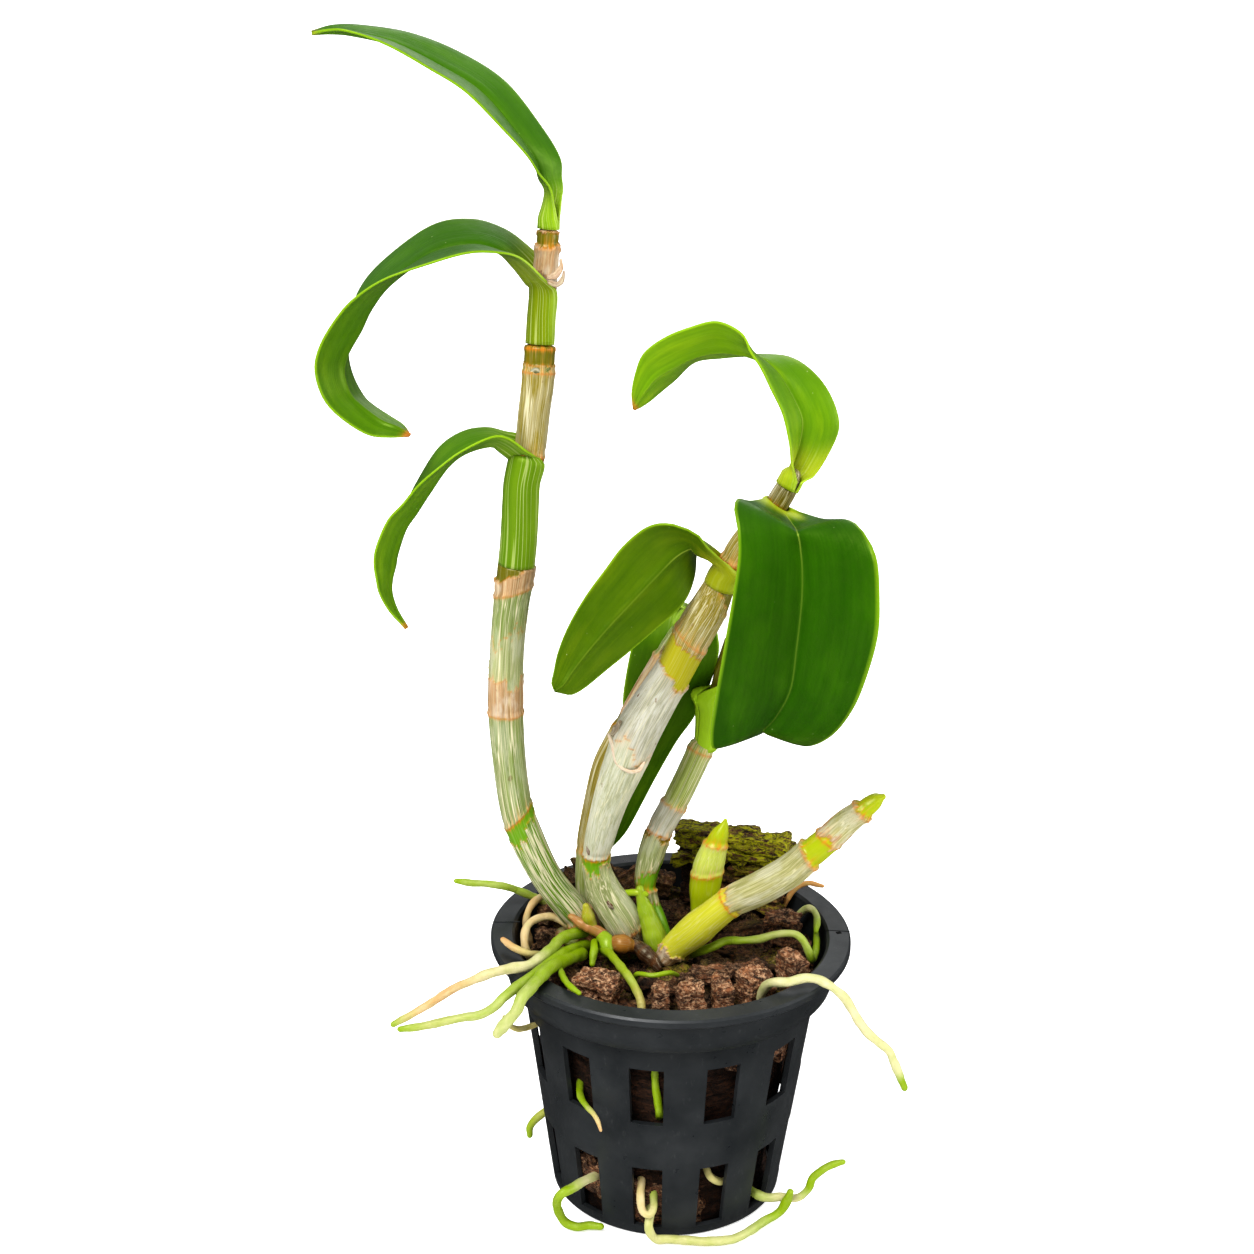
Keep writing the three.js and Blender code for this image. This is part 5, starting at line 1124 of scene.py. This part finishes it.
def leaf_sections(name, across_count):
    """A leaf's cross sections from the foot of its sheath to its tip, each a row of points."""
    leaf = LEAVES[name]
    cane = CANES[leaf["cane"]]
    path = Path(cane["line"], 0.8, True)
    low, high, wrap = cane["wraps"][leaf["wrap"]]
    back = Vector(leaf["back"])
    flare = leaf.get("flare", 0.0)
    shift = Vector(leaf.get("shift", (0, 0, 0)))
    sections = []
    steps = max(2, round((high - low) / 5))
    for i in range(steps + 1):
        here = path.at_height(low + (high - low) * i / steps)
        out = (back - here.along * back.dot(here.along)).normalized()
        over = out.cross(here.along)
        row = []
        for k in range(across_count + 1):
            v = 2 * k / across_count - 1
            angle = math.pi * (1.0 if leaf.get("closed") else 0.985 - 0.12 * i / steps) * v
            spoke = out * math.cos(angle) + over * math.sin(angle)
            wide = 1 + flare * (1.6 * i / steps - 0.35)
            dip = here.along * (4.5 * flare * (1 - i / steps) * min(0.0, spoke.y + 0.2))
            row.append(here.centre + spoke * (wrap - 0.36) * wide + shift * (i / steps - 0.25) + dip)
        sections.append(row)
    rows = leaf["rows"]
    last = len(rows) - 1
    for i in range(leaf["skip"], last + 1):
        ahead = Vector(smooth_rows(rows, (i + 0.1) / last)[:3])
        behind = Vector(smooth_rows(rows, (i - 0.1) / last)[:3])
        along = (ahead - behind).normalized()
        spread = Vector(rows[i][3:6])
        under = along.cross(spread).normalized()
        row = []
        for k in range(across_count + 1):
            v = 2 * k / across_count - 1
            trough = 0.4 * (1 - abs(v) ** 1.5) + 0.6 * (1 - abs(v)) ** 1.6
            lean = leaf["lean"][i] * (1 - abs(v)) if "lean" in leaf else 0.0
            row.append(Vector(rows[i][:3]) + spread * (v / 2 + lean) + under * rows[i][6] * trough)
        sections.append(row)
    return sections, steps + 1


def build_leaf(name, materials):
    """One leaf: its sheath round the cane and its folded blade, with a wall's thickness."""
    across_count = LEAF_COLUMNS
    leaf = LEAVES[name]
    sections, sheath_rows = leaf_sections(name, across_count)
    flat = [[value for point in row for value in point] for row in sections]
    middle = across_count // 2
    last = len(sections) - 1
    fine = []
    for i in range(12 * last + 1):
        row = smooth_rows(flat, i / (12 * last))
        fine.append((i / 12, row, Vector(row[3 * middle:3 * middle + 3])))
    runs = [0.0]
    for a, b in zip(fine, fine[1:]):
        runs.append(runs[-1] + (b[2] - a[2]).length)
    count = max(40, round(runs[-1] / LEAF_STEP))
    rows = []
    k = 0
    for i in range(count + 1):
        run = runs[-1] * i / count
        while k < len(runs) - 2 and runs[k + 1] < run:
            k += 1
        u = (run - runs[k]) / max(1e-9, runs[k + 1] - runs[k])
        rows.append((run, fine[k][0] + u / 12, blend(fine[k][1], fine[k + 1][1], u)))
    bm = bmesh.new()
    span = bm.verts.layers.float_vector.new("span")
    grain = bm.verts.layers.float_vector.new("grain")
    edge, foot, tip, midrib, striped = number_marks(bm, "edge", "foot", "tip", "midrib", "striped")
    ground = bm.verts.layers.float_color.new("ground")
    blade = bm.verts.layers.float_color.new("blade")
    body = bm.verts.layers.deform.verify()
    seed = sum(ord(letter) for letter in name) * 0.37
    total = runs[-1]
    sheath_run = next(run for run, place, _ in rows if place >= sheath_rows - 1)
    for v, column, row in grid_of(bm, across_count, count):
        run, place, line = rows[row]
        here = Vector(line[3 * column:3 * column + 3])
        side = 2 * column / across_count - 1
        left = Vector(line[0:3])
        right = Vector(line[-3:])
        v.co = here
        half = 0.5 * (right - left).length
        v[span] = (side, run, 0.0)
        v[grain] = here
        v[edge] = math.exp(-((1 - abs(side)) * max(half, 0.8) / 0.2) ** 2)
        v[midrib] = 0.1 + 0.5 * (1 - step_between(sheath_run + 4, sheath_run + 0.3 * total, run))
        v[foot] = 1 - step_between(sheath_run - 1, sheath_run + leaf["foot"],
                                   run + 3 * ripple(2 * side, seed, 0))
        v[ground] = (*tint(leaf["tone"]), 1.0)
        v[blade] = (*tint(leaf["blade"]), 1.0)
        v[striped] = leaf.get("stripes", 1.0)
        v[tip] = leaf["tip"] * step_between(total - 2.2, total - 0.5, run)
        v[body][0] = 1.0 - 0.45 * abs(side) ** 6
    bmesh.ops.recalc_face_normals(bm, faces=bm.faces)
    bm.faces.ensure_lookup_table()
    bm.normal_update()
    height = rows[int(count * 0.7)][2][3 * middle + 2]

    def off_midrib(face):
        """How far a face lies from the midrib at the probe height."""
        return abs(face.calc_center_median().z - height) + sum(abs(v[span][0]) for v in face.verts)

    probe = min(bm.faces, key=off_midrib)
    run = probe.verts[0][span][1]
    row = min(rows, key=lambda r: abs(r[0] - run))[2]
    after = min(rows, key=lambda r: abs(r[0] - run - 3))[2]
    along = Vector(after[3 * middle:3 * middle + 3]) - Vector(row[3 * middle:3 * middle + 3])
    upper = (Vector(row[-3:]) - Vector(row[0:3])).cross(along)
    if probe.normal.dot(upper) < 0:
        bmesh.ops.reverse_faces(bm, faces=bm.faces)
    for v in bm.verts:
        sway = 0.22 * ripple(1.5 * v[span][0] + seed, 0.055 * v[span][1], seed)
        crease = -0.3 * math.exp(-(v[span][0] / 0.07) ** 2)
        amount = step_between(sheath_run, sheath_run + 12, v[span][1])
        v.co += v.normal * amount * (sway + crease)
    piece = close_piece(bm, name + "_blade", materials, [name], recalculate=False)
    group = piece.vertex_groups.new(name="body")
    shell = piece.modifiers.new("Thickness", "SOLIDIFY")
    shell.thickness = bpy.context.scene.orchid_leaf.thickness
    shell.offset = 0.0
    shell.vertex_group = group.name
    shell.thickness_vertex_group = 0.2
    shell.use_even_offset = False
    shell.material_offset = 1
    shell.material_offset_rim = 0
    return piece


def build_root(name, materials):
    """One aerial root with a knobbly skin and a rounded tip."""
    foot_radius, tip_radius, line, stops = ROOTS[name]
    last = len(line) - 1
    rows = [(*point, foot_radius + (tip_radius - foot_radius) * i / last) for i, point in enumerate(line)]
    path = Path(rows, ROOT_STEP, False)
    seed = sum(ord(letter) for letter in name) * 0.71
    bm = bmesh.new()
    grain = bm.verts.layers.float_vector.new("grain")
    green, dried = number_marks(bm, "green", "dried")

    def skin(v, here, run, angle):
        x = math.cos(angle)
        y = math.sin(angle)
        t = min(max(run / path.length, 0.0), 1.0)
        before, after = stops[0], stops[-1]
        for a, b in zip(stops, stops[1:]):
            if a[0] <= t <= b[0]:
                before, after = a, b
                break
        u = (t - before[0]) / max(1e-6, after[0] - before[0])
        v[green] = before[1] + (after[1] - before[1]) * u
        v[dried] = before[2] + (after[2] - before[2]) * u
        v[grain] = (here.radius * x + seed, here.radius * y, run)
        knob = 1 + 0.17 * ripple(seed, 0.26 * run, 0) + 0.12 * ripple(1.2 * x + seed, 1.2 * y, 0.5 * run)
        return here.radius * knob * (1 - 0.2 * step_between(path.length - 2.2, path.length, run))

    tube(bm, path, ROOT_COLUMNS, skin)
    return close_piece(bm, name + "_skin", materials, [name])


def chip(bm, marks, at, size, turn, lean, seed, cuts, depth, limit=None, roll=0.0):
    """One chunk of bark: a cube cut finely, its corners drawn in and its faces split in layers."""
    shade, flecks, mossy, grain, values = marks
    before = len(bm.verts)
    made = bmesh.ops.create_cube(bm, size=1.0)
    edges = {e for v in made["verts"] for e in v.link_edges}
    bmesh.ops.subdivide_edges(bm, edges=list(edges), cuts=cuts, use_grid_fill=True)
    bm.verts.ensure_lookup_table()
    turned = Matrix.Rotation(math.radians(turn), 3, "Z") @ Matrix.Rotation(math.radians(roll), 3, "Y")
    turned = turned @ Matrix.Rotation(math.radians(lean), 3, "X")
    for v in bm.verts[before:]:
        p = v.co.copy()
        corner = abs(p.x) + abs(p.y) + abs(p.z)
        p *= 1 - 0.14 * max(0.0, corner - 0.95) / 0.55
        q = Vector((p.x * size[0], p.y * size[1], p.z * size[2]))
        out = Vector((p.x, p.y, p.z)).normalized()
        broad = ripple(0.17 * q.x + seed, 0.17 * q.y, 0.17 * q.z)
        wave = 0.6 * ripple(0.18 * q.x, 0.18 * q.y, seed)
        layer = noise.cell(Vector((0.16 * q.x + seed, 0.2 * q.y, 0.62 * q.z + wave)))
        crease = noise.turbulence(Vector((0.3 * q.x, 0.3 * q.y, 0.42 * q.z + seed)), 4, True)
        q += out * depth * (1.2 * broad + 0.8 * (layer - 0.5) + 1.3 * (crease - 0.6))
        v[grain] = (q.x + 13 * seed, q.y, q.z)
        v[shade], v[flecks], v[mossy] = values
        q = turned @ q + Vector(at)
        if limit:
            room = limit(q.z)
            reach = math.hypot(q.x, q.y)
            if reach > room:
                q.x *= room / reach
                q.y *= room / reach
        q.z = max(q.z, 1.9)
        v.co = q
    return bm.verts[before:]


def bark_marks(bm, values=(0.5, 0.3, 0.0)):
    """The marks that bark carries."""
    numbers = number_marks(bm, "shade", "flecks", "mossy")
    return [*numbers, bm.verts.layers.float_vector.new("grain"), values]


def shell_of_revolution(bm, profile, angles):
    """A closed shell turned about the upright: a ring of profile points at each angle."""
    columns = len(angles)
    rows = len(profile)
    for v, column, row in grid_of(bm, columns, rows):
        radius, height = profile[row % rows]
        angle = math.radians(angles[column % columns])
        v.co = Vector((radius * math.sin(angle), -radius * math.cos(angle), height))
    bmesh.ops.remove_doubles(bm, verts=bm.verts, dist=1e-4)
    bmesh.ops.dissolve_degenerate(bm, edges=bm.edges, dist=1e-5)


def cut_opening(bm, inside):
    """Opens a slot through a wall: drops the faces inside it and joins its two edges."""
    gone = [f for f in bm.faces if inside(f.calc_center_median())]
    if not gone:
        raise RuntimeError("an opening lies on no face")
    bmesh.ops.delete(bm, geom=gone, context="FACES_ONLY")
    edges = [e for e in bm.edges if e.is_boundary]
    bmesh.ops.bridge_loops(bm, edges=edges)
    loose = [e for e in bm.edges if not e.link_faces]
    bmesh.ops.delete(bm, geom=loose, context="EDGES")


def angle_of(point):
    """The angle of a point about the upright, in degrees from the front."""
    return math.degrees(math.atan2(point.x, -point.y))


class ORCHID_OT_pot(bpy.types.Operator):
    """Build the slotted net pot"""

    bl_idname = "orchid.pot"
    bl_label = "Net Pot"

    def execute(self, context):
        look = context.scene.orchid_pot
        top = look.height / MM
        rim = look.rim_radius / MM
        mouth = look.mouth_radius / MM
        wall = look.wall / MM
        heights = [0.8, 1.9, 3.1]
        heights += [3.1 + 18.2 * i / 6 for i in range(1, 7)]
        heights += [21.3 + 13.8 * i / 5 for i in range(1, 6)]
        heights += [35.1 + 16.3 * i / 5 for i in range(1, 6)]
        heights += [54, 56.6, 58.4]
        profile = [(26.4, 0), (wall_radius(0) - 0.8, 0)]
        profile += [(wall_radius(z), z) for z in heights]
        profile += [(wall_radius(58.8) + 0.4, 58.8), (40.2, 58.8), (40.7, 59.2), (41.5, 62), (42.3, 65),
                    (42.9, 67.3),
                    (43.4, top - 2.4), (rim - 0.5, top - 2.4), (rim, top - 1.9), (rim, top - 0.5),
                    (rim - 0.5, top),
                    (mouth + 0.7, top), (mouth, top - 0.6), (mouth - 0.2, 65), (mouth - 0.5, 61.2),
                    (36.2, 58)]
        inner = [(wall_radius(z) - wall, z) for z in reversed(heights[1:-1])]
        profile += inner + [(27.9, 1.6), (26.4, 1.6)]
        angles = []
        for i in range(SLOTS_ROUND):
            centre = SLOT_PHASE + 30 * i
            angles += [centre - SLOT_HALF_ANGLE + 2 * SLOT_HALF_ANGLE * k / 6 for k in range(6)]
            angles += [centre + SLOT_HALF_ANGLE + (30 - 2 * SLOT_HALF_ANGLE) * k / 7 for k in range(7)]
        bm = bmesh.new()
        shell_of_revolution(bm, profile, angles)
        for low, high in SLOT_ROWS:
            for i in range(SLOTS_ROUND):
                centre = SLOT_PHASE + 30 * i

                def inside(point, centre=centre, low=low, high=high):
                    away = (angle_of(point) - centre + 180) % 360 - 180
                    return abs(away) < SLOT_HALF_ANGLE and low < point.z < high

                cut_opening(bm, inside)
        floor = bmesh.new()
        near, far = FLOOR_SLOT_REACH
        spokes = []
        apart = 360 / FLOOR_SLOTS
        half = FLOOR_SLOT_HALF_ANGLE
        for i in range(FLOOR_SLOTS):
            centre = (i + 0.5) * apart
            spokes += [centre - half + 2 * half * k / 4 for k in range(4)]
            spokes += [centre + half + (apart - 2 * half) * k / 8 for k in range(8)]
        reaches = [0, 5, 11, 15, 20, 25, 26.4]
        disc = [(reach, 0) for reach in reaches] + [(reach, FLOOR_THICKNESS) for reach in reversed(reaches)]
        shell_of_revolution(floor, disc, spokes)
        for i in range(FLOOR_SLOTS):

            def inside(point, centre=(i + 0.5) * apart):
                away = (angle_of(point) - centre + 180) % 360 - 180
                return abs(away) < half and near < math.hypot(point.x, point.y) < far

            cut_opening(floor, inside)
        plate = bpy.data.meshes.new("plate")
        floor.to_mesh(plate)
        floor.free()
        bm.from_mesh(plate)
        bpy.data.meshes.remove(plate)
        bmesh.ops.recalc_face_normals(bm, faces=bm.faces)
        for x, y, turn, length, width, high in RIM_MARKS:
            spot = Matrix.Translation((x, y, top + 0.5 * high - 0.01))
            spot = spot @ Matrix.Rotation(math.radians(turn), 4, "Z")
            box = spot @ Matrix.Diagonal((length, width, high, 1))
            made = bmesh.ops.create_cube(bm, size=1.0, matrix=box)
            for face in {f for v in made["verts"] for f in v.link_faces}:
                # Right-hand marks take the near-black finish, a painted shade for the groove and the pin
                # hole.
                face.material_index = 1 if x > 0 else 0
        gap = Finish("mould_gap", roughness=0.7,
                     specular_ior_level=0.1).give(base_color=(0.003, 0.003, 0.003))
        piece = close_piece(bm, "net_pot", [plastic_finish(), gap], ["pot"], recalculate=False)
        bevel = piece.modifiers.new("Soft edges", "BEVEL")
        bevel.width = 0.0004
        bevel.segments = 2
        bevel.limit_method = "ANGLE"
        bevel.angle_limit = math.radians(38)
        bevel.harden_normals = True
        return {"FINISHED"}


class ORCHID_OT_canes(bpy.types.Operator):
    """Build the canes and the new shoot"""

    bl_idname = "orchid.canes"
    bl_label = "Canes"

    def execute(self, context):
        skin = cane_finish()
        for name, (around, step) in CANE_GRAIN.items():
            build_cane(name, around, step, [skin])
        return {"FINISHED"}


class ORCHID_OT_leaves(bpy.types.Operator):
    """Build the leaves with their sheaths"""

    bl_idname = "orchid.leaves"
    bl_label = "Leaves"

    def execute(self, context):
        materials = [leaf_finish("leaf_upper", False), leaf_finish("leaf_under", True)]
        for name in LEAVES:
            build_leaf(name, materials)
        return {"FINISHED"}


class ORCHID_OT_roots(bpy.types.Operator):
    """Build the aerial roots"""

    bl_idname = "orchid.roots"
    bl_label = "Roots"

    def execute(self, context):
        skin = root_finish()
        for name in ROOTS:
            build_root(name, [skin])
        return {"FINISHED"}


class ORCHID_OT_rhizome(bpy.types.Operator):
    """Build the creeping stem that joins the canes"""

    bl_idname = "orchid.rhizome"
    bl_label = "Rhizome"

    def execute(self, context):
        path = Path(RHIZOME, 0.5, True)
        bm = bmesh.new()
        ground = bm.verts.layers.float_color.new("ground")
        grain = bm.verts.layers.float_vector.new("grain")
        veins, paper, rim, drip = number_marks(bm, "veins", "paper", "rim", "drip")

        def skin(v, here, run, angle):
            x = math.cos(angle)
            y = math.sin(angle)
            knot = ripple(0.8 * x, 0.8 * y, 0.3 * run)
            ring = 0.5 + 0.5 * math.cos(run * 2 * math.pi / 3.4 + 1.5 * ripple(x, y, 3))
            v[ground] = (*blend(tint(0x6c7c0e), tint(0x6a4422), step_between(-0.1, 0.5, knot)), 1.0)
            v[grain] = (here.radius * x, here.radius * y, run)
            v[veins] = 0.3
            v[paper] = 0.4
            v[rim] = 0.7 * ring ** 12
            v[drip] = 0.0
            return here.radius * (1 + 0.12 * knot) - 0.25 * ring ** 8

        tube(bm, path, 44, skin)
        for first, second, scaly, rows in KNOBS:

            def knob(v, here, run, angle, pair=(tint(first), tint(second)), scaly=scaly):
                wave = 0.5 + 0.5 * math.cos(2.1 * run + 1.4 * math.sin(angle + 0.7 * run))
                soft = 0.5 + 0.5 * ripple(0.5 * here.centre.x, 2 * math.cos(angle), 0.6 * run)
                v[ground] = (*blend(pair[0], pair[1], scaly * wave + (1 - scaly) * soft), 1.0)
                v[grain] = (here.radius * math.cos(angle), here.radius * math.sin(angle), run)
                v[veins] = 0.1 + 0.2 * scaly
                v[paper] = 0.2 * scaly
                v[rim] = 0.5 * scaly * wave ** 8
                swell = 0.1 * ripple(math.cos(angle), here.centre.x, 0.22 * run) + 0.05 * scaly * wave
                return here.radius * (1 + swell)

            tube(bm, Path(rows, 0.3, True), 32, knob)
        close_piece(bm, "rhizome_skin", [bpy.data.materials["cane_skin"]], ["rhizome"])
        return {"FINISHED"}


class ORCHID_OT_bark_pieces(bpy.types.Operator):
    """Build the large pieces of bark on the top"""

    bl_idname = "orchid.bark_pieces"
    bl_label = "Bark Pieces"

    def execute(self, context):
        skin = bark_finish()
        for i, (name, (at, size, turn, cuts, redness, flecks, moss)) in enumerate(BARK.items()):
            bm = bmesh.new()
            marks = bark_marks(bm, (redness, flecks, moss))
            if name == "bark_mossy_back":
                for k, (along, behind, up, length, deep, high, roll, cover, red) in enumerate(STRIPS):
                    marks[4] = (red, flecks, cover)
                    turned = Matrix.Rotation(math.radians(turn), 3, "Z")
                    spot = Vector(at) + turned @ Vector((along, behind, up))
                    chip(bm, marks, spot, (length, deep, high), turn, 0, 2.3 * k + 1, 20, 0.9, roll=roll)
            else:
                chip(bm, marks, at, size, turn, 0, 3.7 * i + 1, cuts, 0.55 if "front" in name else 0.85)
            close_piece(bm, name + "_chunk", [skin], [name])
        return {"FINISHED"}


class ORCHID_OT_bark_bed(bpy.types.Operator):
    """Fill the pot with chips of bark"""

    bl_idname = "orchid.bark_bed"
    bl_label = "Bark Bed"

    def execute(self, context):
        stream = random.Random(41)
        bm = bmesh.new()
        marks = bark_marks(bm)
        count = context.scene.orchid_bark.chips
        wall_chips = round(WALL_CHIP_SHARE * count)
        for i in range(wall_chips):
            height = 5 + 52 * ((i * GOLDEN_SHARE) % 1.0)
            angle = GOLDEN_ANGLE * i + 0.3 * stream.random()
            size = (stream.uniform(7, 13), stream.uniform(3.5, 6), stream.uniform(6, 12))
            reach = room(height) - 0.5 * size[1] + 0.3 - 2.2 * stream.random()
            marks[4] = (stream.uniform(0.1, 1.0), stream.uniform(0.0, 0.7), 0.0)
            chip(bm, marks, (reach * math.sin(angle), -reach * math.cos(angle), height), size,
                 math.degrees(angle) + stream.uniform(-25, 25), stream.uniform(-22, 22), 5.1 * i, 5, 0.9,
                 room)
        for i in range(count - wall_chips):
            angle = GOLDEN_ANGLE * i
            reach = 36 * math.sqrt((i + 0.5) / (count - wall_chips))
            size = (stream.uniform(6, 13), stream.uniform(4, 7), stream.uniform(3, 6.5))
            # The top chips get little redness, so they come out darker: painted shade for the deep gaps
            # between them.
            marks[4] = (stream.uniform(0.0, 0.45), stream.uniform(0.0, 0.5), 0.3 * stream.random() ** 3)
            x = reach * math.sin(angle)
            y = -reach * math.cos(angle)
            mound = 5 * step_between(4, 20, y) * step_between(-2, -10, x) - 1.6 + 2.0 * step_between(14,
                    24, x)
            chip(bm, marks, (x, y, 60.4 + mound + 3.6 * stream.random()), size,
                 360 * stream.random(), stream.uniform(-35, 35), 3.3 * i + 900, 6, 0.9, room)
        for k, (spot, size, turn, lean, roll, red) in enumerate(BACK_CHIPS):
            marks[4] = (red, 0.3, 0.05)
            chip(bm, marks, spot, size, turn, lean, 7.7 * k + 50, 9, 0.8, roll=roll)
        # The core carries no marks, so it takes the darkest bark colour: a painted shade where it shows
        # between the chips.
        core = [(0, 2.0), (room(2) - 0.8, 2.0), (room(7) - 2.8, 7), (room(30) - 2.5, 30),
                (room(58) - 2.6, 58), (14, 60.5), (0, 60.5)]
        for v, column, row in grid_of(bm, 40, len(core)):
            radius, height = core[row % len(core)]
            angle = 2 * math.pi * (column % 40) / 40
            v.co = Vector((radius * math.sin(angle), -radius * math.cos(angle), height))
            v[marks[3]] = v.co
        bmesh.ops.remove_doubles(bm, verts=bm.verts, dist=1e-4)
        close_piece(bm, "bark_bed", [bpy.data.materials["fir_bark"]], ["bark_fill"])
        return {"FINISHED"}


class ORCHID_OT_stage(bpy.types.Operator):
    """Set up the floor, the light and the camera"""

    bl_idname = "orchid.stage"
    bl_label = "Stage"

    def execute(self, context):
        look = context.scene.orchid_stage
        bm = bmesh.new()
        bmesh.ops.create_grid(bm, x_segments=1, y_segments=1, size=30)
        bmesh.ops.translate(bm, verts=bm.verts, vec=(0, 0, -0.00005))
        mesh = bpy.data.meshes.new("floor")
        bm.to_mesh(mesh)
        bm.free()
        floor = bpy.data.objects.new("floor", mesh)
        context.scene.collection.objects.link(floor)
        finish = Finish("pale_floor", roughness=0.9, specular_ior_level=0.1, emission_strength=0.5)
        finish.shader.inputs["Emission Color"].default_value = (1, 1, 1, 1)
        mesh.materials.append(finish.give(base_color=tuple(look.floor)))
        floor.visible_glossy = False
        world = bpy.data.worlds.new("even_light")
        world.use_nodes = True
        nodes = world.node_tree.nodes
        links = world.node_tree.links
        nodes["Background"].inputs["Color"].default_value = (1, 1, 1, 1)
        place = nodes.new("ShaderNodeTexCoord")
        parts = nodes.new("ShaderNodeSeparateXYZ")
        rise = nodes.new("ShaderNodeMapRange")
        for socket, value in (("From Min", -0.1), ("From Max", 0.8), ("To Min", 0.15), ("To Max", 1.4)):
            rise.inputs[socket].default_value = value * (look.sky if socket.startswith("To") else 1)
        links.new(place.outputs["Generated"], parts.inputs[0])
        links.new(parts.outputs["Z"], rise.inputs["Value"])
        links.new(rise.outputs[0], nodes["Background"].inputs["Strength"])
        context.scene.world = world
        aim = Vector((0, 0, 0.13))
        for name, place, size, power in (("key", (-0.42, -0.66, 0.85), 0.45, look.key),
                                         ("side", (1.0, -0.2, 0.4), 0.6, 1.3 * look.key),
                                         ("back", (0.2, 0.9, 0.8), 0.8, 0.35 * look.key)):
            lamp = bpy.data.lights.new(name, "AREA")
            lamp.shape = "DISK"
            lamp.size = size
            lamp.energy = power
            light = bpy.data.objects.new(name, lamp)
            light.location = place
            light.rotation_euler = (aim - Vector(place)).to_track_quat("-Z", "Y").to_euler()
            context.scene.collection.objects.link(light)
        lamp = bpy.data.lights.new("overhead", "SUN")
        lamp.energy = look.sun
        lamp.angle = math.radians(30)
        light = bpy.data.objects.new("overhead", lamp)
        light.rotation_euler = Vector((0.35, 0.6, -1.0)).to_track_quat("-Z", "Y").to_euler()
        context.scene.collection.objects.link(light)
        pitch = math.radians(CAMERA_TILT)
        roll = math.radians(CAMERA_ROLL)
        flat_up = Vector((0, math.sin(pitch), math.cos(pitch)))
        right = Vector((1, 0, 0)) * math.cos(roll) + flat_up * math.sin(roll)
        up = Vector((-1, 0, 0)) * math.sin(roll) + flat_up * math.cos(roll)
        back = right.cross(up)
        lens = bpy.data.cameras.new("camera")
        lens.sensor_width = SENSOR_WIDTH
        lens.lens = LENS_PIXELS * SENSOR_WIDTH / FRAME_PIXELS
        lens.clip_start = 0.01
        camera = bpy.data.objects.new("camera", lens)
        matrix = Matrix((right, up, back)).transposed().to_4x4()
        matrix.translation = Vector(CAMERA_PLACE)
        camera.matrix_world = matrix
        context.scene.collection.objects.link(camera)
        context.scene.camera = camera
        context.scene.view_settings.view_transform = "Standard"
        context.scene.view_settings.look = "Medium High Contrast"
        return {"FINISHED"}


class ORCHID_PT_panel(bpy.types.Panel):
    """The orchid's pieces, sizes and colours"""

    bl_label = "Orchid"
    bl_idname = "ORCHID_PT_panel"
    bl_space_type = "VIEW_3D"
    bl_region_type = "UI"
    bl_category = "Orchid"

    def draw(self, context):
        for operator in OPERATORS:
            self.layout.operator(operator.bl_idname)
        for name, look in LOOKS.items():
            box = self.layout.box()
            group = getattr(context.scene, name)
            for key in look.__annotations__:
                box.prop(group, key)


OPERATORS = (
    ORCHID_OT_stage,
    ORCHID_OT_pot,
    ORCHID_OT_canes,
    ORCHID_OT_rhizome,
    ORCHID_OT_leaves,
    ORCHID_OT_roots,
    ORCHID_OT_bark_pieces,
    ORCHID_OT_bark_bed,
)
CLASSES = (*LOOKS.values(), *OPERATORS, ORCHID_PT_panel)


def register():
    """Adds the classes and the scene's settings."""
    for item in CLASSES:
        bpy.utils.register_class(item)
    for name, look in LOOKS.items():
        setattr(bpy.types.Scene, name, PointerProperty(type=look))


def unregister():
    """Takes them out again."""
    for name in LOOKS:
        delattr(bpy.types.Scene, name)
    for item in reversed(CLASSES):
        bpy.utils.unregister_class(item)


def main():
    """Builds the whole orchid."""
    register()
    bpy.ops.orchid.stage()
    bpy.ops.orchid.pot()
    bpy.ops.orchid.canes()
    bpy.ops.orchid.rhizome()
    bpy.ops.orchid.leaves()
    bpy.ops.orchid.roots()
    bpy.ops.orchid.bark_pieces()
    bpy.ops.orchid.bark_bed()


if __name__ == "__main__":
    main()
